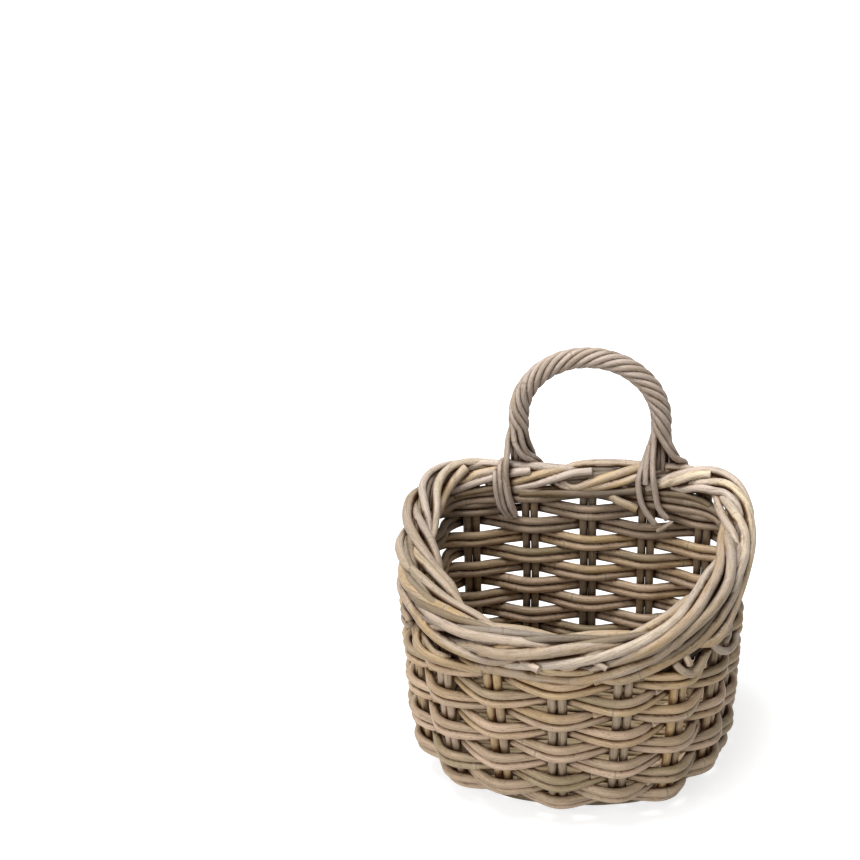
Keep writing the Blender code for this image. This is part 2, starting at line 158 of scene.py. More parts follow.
def smooth_line(keys, count):
    """A smooth line through key points.

    Between two keys it is the cubic that passes through both and leaves each one in parallel with
    the line from the key before to the key after it.
    """
    keys = np.asarray(keys, float)
    before = 2 * keys[..., :1, :] - keys[..., 1:2, :]
    after = 2 * keys[..., -1:, :] - keys[..., -2:-1, :]
    padded = np.concatenate([before, keys, after], axis=-2)
    place = np.linspace(0, keys.shape[-2] - 1, count)
    first = np.minimum(place.astype(int), keys.shape[-2] - 2)
    f = (place - first)[:, None]
    a, b, c, d = (padded[..., first + k, :] for k in range(4))
    square, cube = 2 * a - 5 * b + 4 * c - d, 3 * b - a - 3 * c + d
    return 0.5 * (2 * b + (c - a) * f + square * f**2 + cube * f**3)


def wander(length, wave):
    """A slow drift of about one each way: three sines with random starts, one row per cane."""
    start = random.uniform(0, 2 * math.pi, (3, length.shape[0], 1))
    waves = wave * np.array([1.0, 0.57, 0.31])[:, None, None]
    return np.tensordot([0.6, 0.35, 0.2], np.sin(2 * math.pi * length / waves + start), 1)


def walked(paths):
    """The length walked along each path, point by point."""
    steps = np.linalg.norm(np.diff(paths, axis=-2), axis=-1)
    return np.concatenate([np.zeros(steps.shape[:-1] + (1,)), np.cumsum(steps, axis=-1)], axis=-1)


# %% Rings of points made a mesh
SIDES = 12


def extend(values, first, last):
    """Values along each cane, with one more put before them and one after."""
    return np.concatenate([first[:, None], values, last[:, None]], axis=1)


def tube_mesh(name, points):
    """Rings of points joined side by side, with a flat face on each cane's first and last ring."""
    index = np.arange(points[..., 0].size).reshape(points.shape[:3])
    turned = np.roll(index, -1, axis=2)
    sides = np.stack([index[:, :-1], turned[:, :-1], turned[:, 1:], index[:, 1:]], axis=-1).reshape(-1, 4)
    caps = np.concatenate([index[:, 0, ::-1], index[:, -1]])
    mesh = bpy.data.meshes.new(name)
    mesh.from_pydata(points.reshape(-1, 3), [], sides.tolist() + caps.tolist())
    is_cap = np.arange(len(mesh.polygons)) >= len(sides)
    mesh.polygons.foreach_set("use_smooth", ~is_cap)
    mesh.polygons.foreach_set("material_index", is_cap.astype(np.int32))
    print(name, "canes:", len(index), "triangles:", 2 * len(sides) + (SIDES - 2) * len(caps))
    return mesh


def keep_values(mesh, label, values, kind="FLOAT", key="value"):
    """One value, or one vector, kept at each point of a mesh for its material to read."""
    layer = mesh.attributes.new(label, kind, "POINT")
    layer.data.foreach_set(key, values.ravel().astype(np.float32))


# %% The cane itself
KNOT_GAPS, KNOT_SWELLING, KNOT_LENGTH = (0.22, 0.42), 0.06, 0.0030
THICKNESSES, THICKNESS_DRIFT, OVAL_DRIFT = (0.95, 1.04), 0.022, 0.02
CHAMFER, CHAMFERED = 0.12, 0.86
GRAIN_STEP = 1.7
UP = [0, 0, 1.0]
CANES = []


def make_canes(name, paths, side, radius, nodes, slot, painted_shade=0.0, tone=None):
    """One mesh of canes: the section radius * (cos a * n + sin a * b) carried along each path.

    n is the reference side made square to the path, and b is square to both. The radius is
    multiplied by a drift and by a bell-shaped swelling at each knot. The material reads a grain
    place (length and section), a knot count that passes a half at each knot, a tone and a painted shade.
    """
    paths = np.asarray(paths, float)
    canes, points = paths.shape[:2]
    length = walked(paths)
    knot_gap = random.uniform(*KNOT_GAPS, (canes, 1))
    knot = length / knot_gap + random.uniform(0, 1, (canes, 1))
    off_knot = (np.mod(knot, 1) - 0.5) * knot_gap
    swelling = 1 + KNOT_SWELLING * np.exp(-((off_knot / KNOT_LENGTH) ** 2))
    thickness = radius * random.uniform(*THICKNESSES, (canes, 1))
    thickness = thickness * swelling * (1 + THICKNESS_DRIFT * wander(length, 0.09))
    tangent = unit(np.gradient(paths, axis=1))
    side = np.broadcast_to(side, paths.shape)
    n = unit(side - (side * tangent).sum(-1, keepdims=True) * tangent)
    b = np.cross(tangent, n)

    tip = CHAMFER * radius
    middle = extend(paths, paths[:, 0] - tip * tangent[:, 0], paths[:, -1] + tip * tangent[:, -1])
    thickness = extend(thickness, CHAMFERED * thickness[:, 0], CHAMFERED * thickness[:, -1])
    n, b, length, knot = (extend(rows, rows[:, 0], rows[:, -1]) for rows in (n, b, length, knot))
    angle = np.linspace(0, 2 * math.pi, SIDES, endpoint=False)
    oval = 1 + OVAL_DRIFT * wander(length, 0.14)[..., None]
    across = thickness[..., None] * np.cos(angle) * oval
    up = thickness[..., None] * np.sin(angle) / oval
    places = middle[:, :, None] + across[..., None] * n[:, :, None] + up[..., None] * b[:, :, None]
    around = np.cos(angle)[:, None] * n[:, :, None] + np.sin(angle)[:, None] * b[:, :, None]
    around = around * thickness[..., None, None]
    volume = math.pi * thickness[:, 1:-1] ** 2 * np.gradient(length[:, 1:-1], axis=1)

    mesh = tube_mesh(name, places)
    tone = random.uniform(0, 1, canes) if tone is None else tone
    painted_shade = np.broadcast_to(painted_shade, (canes, points))
    painted_shade = extend(painted_shade, painted_shade[:, 0], painted_shade[:, -1])
    along = length[..., None] + np.arange(canes)[:, None, None] * GRAIN_STEP + 0 * across
    keep_values(mesh, "grain", np.stack([along, across, up], axis=-1), "FLOAT_VECTOR", "vector")
    keep_values(mesh, "knot", knot[..., None] + 0 * across)
    keep_values(mesh, "seed", tone[:, None, None] + 0 * across)
    keep_values(mesh, "painted_shade", painted_shade[..., None] + 0 * across)
    CANES.append((mesh, places.reshape(-1, 3), around.reshape(-1, 3), paths.reshape(-1, 3), volume.ravel()))
    piece = bpy.data.objects.new(name, mesh)
    bpy.context.scene.collection.objects.link(piece)
    mesh.materials.append(SKINS[slot])
    mesh.materials.append(pith)
    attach(piece, "root")
    if nodes:
        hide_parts(*nodes)
    mesh.update()

# %% [markdown]
# Dry rattan is not one colour. Each cane has its own tone, from straw through tan to a pinkish
# grey, and along one cane the skin drifts between two tones in long patches. Fine fibres run
# along it, stains and dark pores lie over them, and each knot is a thin dark ring in a pale
# band. All of this is read from values that the cane carries, so it follows every bend. The cut
# ends show the pale, porous pith.

# %% Helpers for materials
def add(tree, kind, settings=None, **sockets):
    """A shader node with its settings and sockets; a socket takes a value or another node's output."""
    made = tree.nodes.new(kind)
    for key, value in (settings or {}).items():
        setattr(made, key, value)
    for key, value in sockets.items():
        socket = made.inputs[int(key[1:]) if key[1:].isdigit() else key.replace("_", " ")]
        if isinstance(value, bpy.types.NodeSocket):
            tree.links.new(value, socket)
        else:
            socket.default_value = value
    return made


def new_material(name):
    """A material with nodes: itself, its tree and its shader."""
    material = bpy.data.materials.new(name)
    material.use_nodes = True
    return material, material.node_tree, material.node_tree.nodes["Principled BSDF"]


def calculate(tree, operation, *values):
    """A difference, product or other calculation on one or two values."""
    made = add(tree, "ShaderNodeMath", {"operation": operation}, **dict(zip(("i0", "i1"), values)))
    return made.outputs[0]


def fit(tree, value, low, high, new_low, new_high):
    """A value carried from one range to another and held inside it."""
    ends = {"i1": low, "i2": high, "i3": new_low, "i4": new_high}
    return add(tree, "ShaderNodeMapRange", {"clamp": True}, i0=value, **ends).outputs[0]


def ramp(tree, factor, stops):
    """A colour ramp through stops of place and colour."""
    made = add(tree, "ShaderNodeValToRGB", Fac=factor)
    while len(made.color_ramp.elements) < len(stops):
        made.color_ramp.elements.new(0.5)
    for element, (place, colour) in zip(made.color_ramp.elements, stops):
        element.position = place
        element.color = (*colour, 1)
    return made.outputs["Color"]


def mix(tree, factor, a, b, how="MIX"):
    """Two colours mixed, each of them a node's output or three numbers."""
    a, b = ((*colour, 1) if isinstance(colour, tuple) else colour for colour in (a, b))
    made = add(tree, "ShaderNodeMix", {"data_type": "RGBA", "blend_type": how}, i0=factor, i6=a, i7=b)
    return made.outputs[2]


def grain_noise(tree, grain, grains, detail, rough):
    """Noise with so many grains to the metre along the cane, and in its section both ways."""
    place = add(tree, "ShaderNodeVectorMath", {"operation": "MULTIPLY"}, i0=grain, i1=grains).outputs[0]
    noise = add(tree, "ShaderNodeTexNoise", Vector=place, Scale=1.0, Detail=detail, Roughness=rough)
    return noise.outputs["Fac"]


def attribute(tree, name, output="Fac"):
    """A value that the mesh carries."""
    return add(tree, "ShaderNodeAttribute", {"attribute_name": name}).outputs[output]


# %% The cane material
# The third colour is the dark brown towards which painted shade darkens a skin.
STAIN, PORE, PAINTED_SHADE_BROWN = (0.19, 0.135, 0.075), (0.07, 0.045, 0.025), (0.060, 0.042, 0.022)
KNOT_BAND, KNOT_RING = (0.62, 0.52, 0.38), (0.12, 0.08, 0.05)
FIBRES = [(0.30, (0.50, 0.45, 0.40)), (0.46, (0.92, 0.91, 0.89)), (0.70, (1.22, 1.22, 1.22))]
# Crevice colours: painted shade where canes crowd, which also stands for dust.
CREVICE_SHADE_AND_DUST = [(0.4, (0.26, 0.155, 0.08)), (0.6, (0.15, 0.08, 0.033))]
VESSELS = [(0.12, (0.16, 0.11, 0.07)), (0.34, (0.46, 0.37, 0.26))]


def cane_material(name, tones, patch_tone, roughness):
    """Dry cane skin: tones for whole canes, patches, fibres, stains, pores, knots, painted shade, and
    painted crevice shade with dust.
    """
    material, tree, shader = new_material(name)
    grain = attribute(tree, "grain", "Vector")
    patch = grain_noise(tree, grain, (14, 70, 70), 4.0, 0.6)
    fibre = grain_noise(tree, grain, (40, 800, 800), 5.0, 0.72)
    blotch = grain_noise(tree, grain, (75, 240, 240), 5.0, 0.7)
    pores = grain_noise(tree, grain, (420, 1300, 1300), 2.0, 0.6)
    knot = calculate(tree, "FRACT", attribute(tree, "knot"))
    off = calculate(tree, "ABSOLUTE", calculate(tree, "SUBTRACT", knot, 0.5))
    colour = ramp(tree, attribute(tree, "seed"), list(zip(np.linspace(0, 1, len(tones)), tones)))
    colour = mix(tree, fit(tree, patch, 0.42, 0.62, 0, 0.75), colour, patch_tone)
    colour = mix(tree, 1.0, colour, ramp(tree, fibre, FIBRES), "MULTIPLY")
    colour = mix(tree, fit(tree, blotch, 0.54, 0.70, 0, 0.6), colour, STAIN)
    colour = mix(tree, fit(tree, pores, 0.62, 0.70, 0, 0.75), colour, PORE)
    colour = mix(tree, fit(tree, off, 0.004, 0.014, 0.22, 0), colour, KNOT_BAND)
    colour = mix(tree, fit(tree, off, 0.001, 0.0035, 0.42, 0), colour, KNOT_RING)
    # Painted shade: each cane's shade value darkens its skin towards a dark brown.
    colour = mix(tree, attribute(tree, "painted_shade"), colour, PAINTED_SHADE_BROWN)
    # Painted crevice shade, also standing for dust: darker where cane crowds in front of the skin.
    colour = mix(tree, attribute(tree, "crevice"), colour, ramp(tree, patch, CREVICE_SHADE_AND_DUST), "MULTIPLY")
    rough = fit(tree, patch, 0.35, 0.65, roughness - 0.08, roughness + 0.12)
    bump = add(tree, "ShaderNodeBump", Strength=0.55, Distance=0.0004, Height=mix(tree, 0.35, fibre, blotch))
    tree.links.new(colour, shader.inputs["Base Color"])
    tree.links.new(rough, shader.inputs["Roughness"])
    tree.links.new(bump.outputs[0], shader.inputs["Normal"])
    shader.inputs["Specular IOR Level"].default_value = 0.35
    return material


def pith_material():
    """The cut end of a cane: pale, with dark vessel dots."""
    material, tree, shader = new_material("pith")
    place = add(tree, "ShaderNodeTexCoord").outputs["Object"]
    dots = add(tree, "ShaderNodeTexVoronoi", Vector=place, Scale=1800.0).outputs["Distance"]
    tree.links.new(ramp(tree, dots, VESSELS), shader.inputs["Base Color"])
    shader.inputs["Roughness"].default_value = 0.85
    return material


# %% Tones and skins
STRAW, TAN, PALE = (0.56, 0.41, 0.23), (0.485, 0.33, 0.165), (0.51, 0.425, 0.365)
PINK_GREY, GREY = (0.48, 0.375, 0.30), (0.37, 0.29, 0.215)
OLIVE, BROWN, SAND = (0.30, 0.235, 0.135), (0.31, 0.205, 0.11), (0.55, 0.385, 0.20)
MAUVE, ROSE, CREAM = (0.385, 0.31, 0.255), (0.54, 0.395, 0.285), (0.68, 0.56, 0.37)
LILAC, PEARL = (0.45, 0.37, 0.315), (0.60, 0.50, 0.42)
pith = pith_material()
SKINS = {f"{cane}_cane": cane_material(f"{cane} cane skin", tones, patch_tone, roughness)
         for cane, tones, patch_tone, roughness in (
             ("stake", [OLIVE, GREY, TAN, PINK_GREY, TAN], GREY, 0.55),
             ("weaver", [TAN, GREY, SAND, OLIVE, ROSE, STRAW], ROSE, 0.55),
             ("border", [TAN, STRAW, GREY, TAN, PEARL, CREAM], PALE, 0.5),
             ("loop", [GREY, MAUVE, LILAC, MAUVE], LILAC, 0.52),
             ("base", [BROWN, OLIVE, BROWN], OLIVE, 0.65))}
print("materials:", len(bpy.data.materials))

# %% [markdown]
# The stakes are what the rest is woven on. Each pair is one cane folded like a hairpin: down the
# wall, in under the base, round and up again beside itself. The path is a few key points on the
# wall and under it, joined by a smooth line.

# %% Stakes
STAKE_RADIUS, STAKE_SPACING = 0.0035, 0.0071
LEG_Z = (0.10, 0.06, 0.026, 0.0165, 0.0095)
LEG_TUCK = np.array([[0.0035], [0.0085]])
FOOT = np.array([[0.0030, 0.0038], [0.008, 0.0056], [0.014, 0.0056], [0.020, 0.0056]])


def stake_paths():
    """Each pair's two legs, mirrored about its middle and joined under the base by a half circle.

    From the end of a leg the foot goes inward and down by the amounts in FOOT.
    """
    length = STAKE_LENGTHS[:STAKES]
    _, y, _, _ = wall_frame(length, 0.150)
    top = rim_height(y) - 0.004
    heights = np.stack([top, top - 0.03, *(z + 0 * top for z in LEG_Z)], axis=1)
    leg = wall_point(length[:, None], heights, 0)
    leg[:, 1:5] += 0.0004 * random.standard_normal((STAKES, 4, 1)) * [1, 1, 0]
    _, _, nx, ny = wall_frame(length, LEG_Z[-1])
    inward = np.stack([-nx, -ny, 0 * nx], axis=-1)[:, None]
    sideways = np.stack([-ny, nx, 0 * nx], axis=-1)[:, None]
    leg[:, -2:] += LEG_TUCK * inward
    foot = leg[:, -1:] + FOOT[:, :1] * inward + FOOT[:, 1:] * np.array([0, 0, -1.0])
    half = STAKE_SPACING / 2
    profile = np.concatenate([leg, foot], axis=1)
    turn = np.radians([45, 90, 135])[:, None]
    fold = foot[:, -1:] + half * (np.cos(turn) * sideways + np.sin(turn) * inward)
    keys = np.concatenate([profile + half * sideways, fold, profile[:, ::-1] - half * sideways], axis=1)
    print("stake heights in mm:", np.round(top * 1000)[[0, 4, 9]])
    return smooth_line(keys, 230), sideways


paths, sideways = stake_paths()
# Painted shade on the stakes, growing towards the back of the basket.
painted_shade = 0.42 * back_share(paths[..., 1]) ** 2
nodes = [f"stake_pair_{k + 1:02d}" for k in range(STAKES)]
make_canes("stakes", paths, sideways, STAKE_RADIUS, nodes, "stake_cane", painted_shade=painted_shade)

# %% [markdown]
# The weavers go in pairs, one cane above the other, in front of one stake pair and behind the
# next. A sine wave would be too round for them: a springy cane runs straight from one pair to
# the next and lies level across each. Nine rows go all round. Above them three short rows fill
# the back, where the rim is higher, and fold round their last stake pairs.

# %% Weavers
WEAVER_RADIUS, REACH, TOP_ROW = 0.00345, 0.0074, 11
FIRST_ROW_Z, FRONT_STEP, STEP_GROWTH, BACK_STEP = 0.0145, 0.0131, 0.0001, 0.01385
BACK_RAISE, FRONT_RAISE, LOWEST_RAISE, FRONT_SAG = 0.0022, 0.0012, 0.0050, 0.0012


def row_height(row, y):
    """Mid height of a row, packed closer at the front than at the back."""
    share = back_share(y)
    front = row * FRONT_STEP + row * row * STEP_GROWTH
    return FIRST_ROW_Z + front * (1 - share) + row * BACK_STEP * share


def half_spacing(row, y):
    """Half the height from one cane of a row to the other."""
    share = back_share(y)
    return ((FRONT_STEP + 2 * STEP_GROWTH * row) * (1 - share) + BACK_STEP * share) / 4


def weave(row, stake, lift):
    """A weaver's middle line, which lies out of the stake line by -REACH * crest.

    climb is 1.25 * 2 / pi * arcsin(cos(pi * (stake + row))), a zigzag of straight lines from pair
    to pair, and crest is climb / (1 + climb^8)^(1/8), which bends it level across each pair. The
    height is the row's, plus lift times half the spacing and a slow drift. At the front a cane
    sags outside a pair or rises inside it. The top row slopes down past its last pairs.
    """
    length = length_at(stake)
    _, y, _, _ = wall_frame(length, 0.012 + 0.0136 * row)
    height = row_height(row, y) + lift * half_spacing(row, y) + 0.00035 * wander(length, 0.13)
    front = 1 - back_share(y)
    lowest = np.clip(1 - row / 1.7, 0, 1)
    height = height + BACK_RAISE * (1 - front) ** 3 + FRONT_RAISE * front + LOWEST_RAISE * lowest
    if row == TOP_ROW:
        height = height - 0.0035 * np.clip(np.abs(stake) - 1.2, 0, None)
        stake = np.clip(stake, -1, 1)
    climb = 1.25 * 2 / math.pi * np.arcsin(np.cos(math.pi * (stake + row)))
    crest = climb / (1 + climb**8) ** 0.125
    height = height + FRONT_SAG * front * crest
    out = -REACH * crest + 0.0003 * wander(length, 0.1)
    return length, height, out


def painted_inside_shade(row, out):
    """Painted shade: a cane is a little darker where it runs inside the basket, from the sixth row up."""
    return 0.09 * np.clip((row - 4) / 3, 0, 1) * np.clip(-out / REACH, 0, 1)


def make_row(row):
    """Two canes right round, each starting inside, behind a stake pair, and ending past its start."""
    first = np.array([[4 + (row % 2)], [12 + (row % 2)]]) - 0.45 + random.integers(-1, 2, (2, 1)) * 2
    stake = first + np.linspace(0, STAKES + 0.9, 400)
    length, height, out = weave(row, stake, np.array([[-1], [1]]))
    over = np.clip((stake - first - STAKES + 0.25) / 0.5, 0, 1)
    out = out - 0.0062 * over * over * (3 - 2 * over)
    make_canes(f"weavers_{row + 1:02d}", wall_point(length, height, out), UP, WEAVER_RADIUS,
               [f"weaver_row_{row + 1:02d}"], "weaver_cane", painted_shade=painted_inside_shade(row, out))


for row in range(9):
    make_row(row)


# %% Short rows across the back
def make_short_row(row, last):
    """One cane out along the lower line and back along the upper, folded past its last pair.

    The fold is centre + sin(turn) * rise + 3.4 mm * cos(turn) * forward, a part of an ellipse.
    """
    stake = np.linspace(-last - 0.12, last + 0.12, round(60 * last))[None]
    low, high = (wall_point(*weave(row, stake, lift)) for lift in (-1.0, 1.0))
    centre, rise = (low[:, -1] + high[:, -1]) / 2, (high[:, -1] - low[:, -1]) / 2
    forward = unit(low[:, -1] - low[:, -4])
    turn = np.radians(np.linspace(-75, 75, 9))[:, None]
    fold = centre[:, None] + np.sin(turn) * rise[:, None] + 0.0034 * np.cos(turn) * forward[:, None]
    path = np.concatenate([low, fold, high[:, ::-1]], axis=1)
    # The short rows get an even painted shade.
    make_canes(f"weavers_{row + 1:02d}", path, [0, 0.02, 1.0], WEAVER_RADIUS,
               [f"weaver_row_{row + 1:02d}"], "weaver_cane", painted_shade=0.28, tone=np.array([0.22]))


for row, last in ((9, 6), (10, 4), (TOP_ROW, 2.6)):
    make_short_row(row, last)

# %% [markdown]
# The border is made of the stakes themselves. Where the weave ends, each pair turns to the right,
# comes out under the rim, rolls up over its outer side and top and goes down inside. An even
# helix would look like a machine's rope. The real rods lie long and shallow, cross each other
# and stop where the maker cut them, so each one is laid one by one here: a few key points, joined
# by a smooth line. A core of rods inside the border closes what the laid ones leave open.

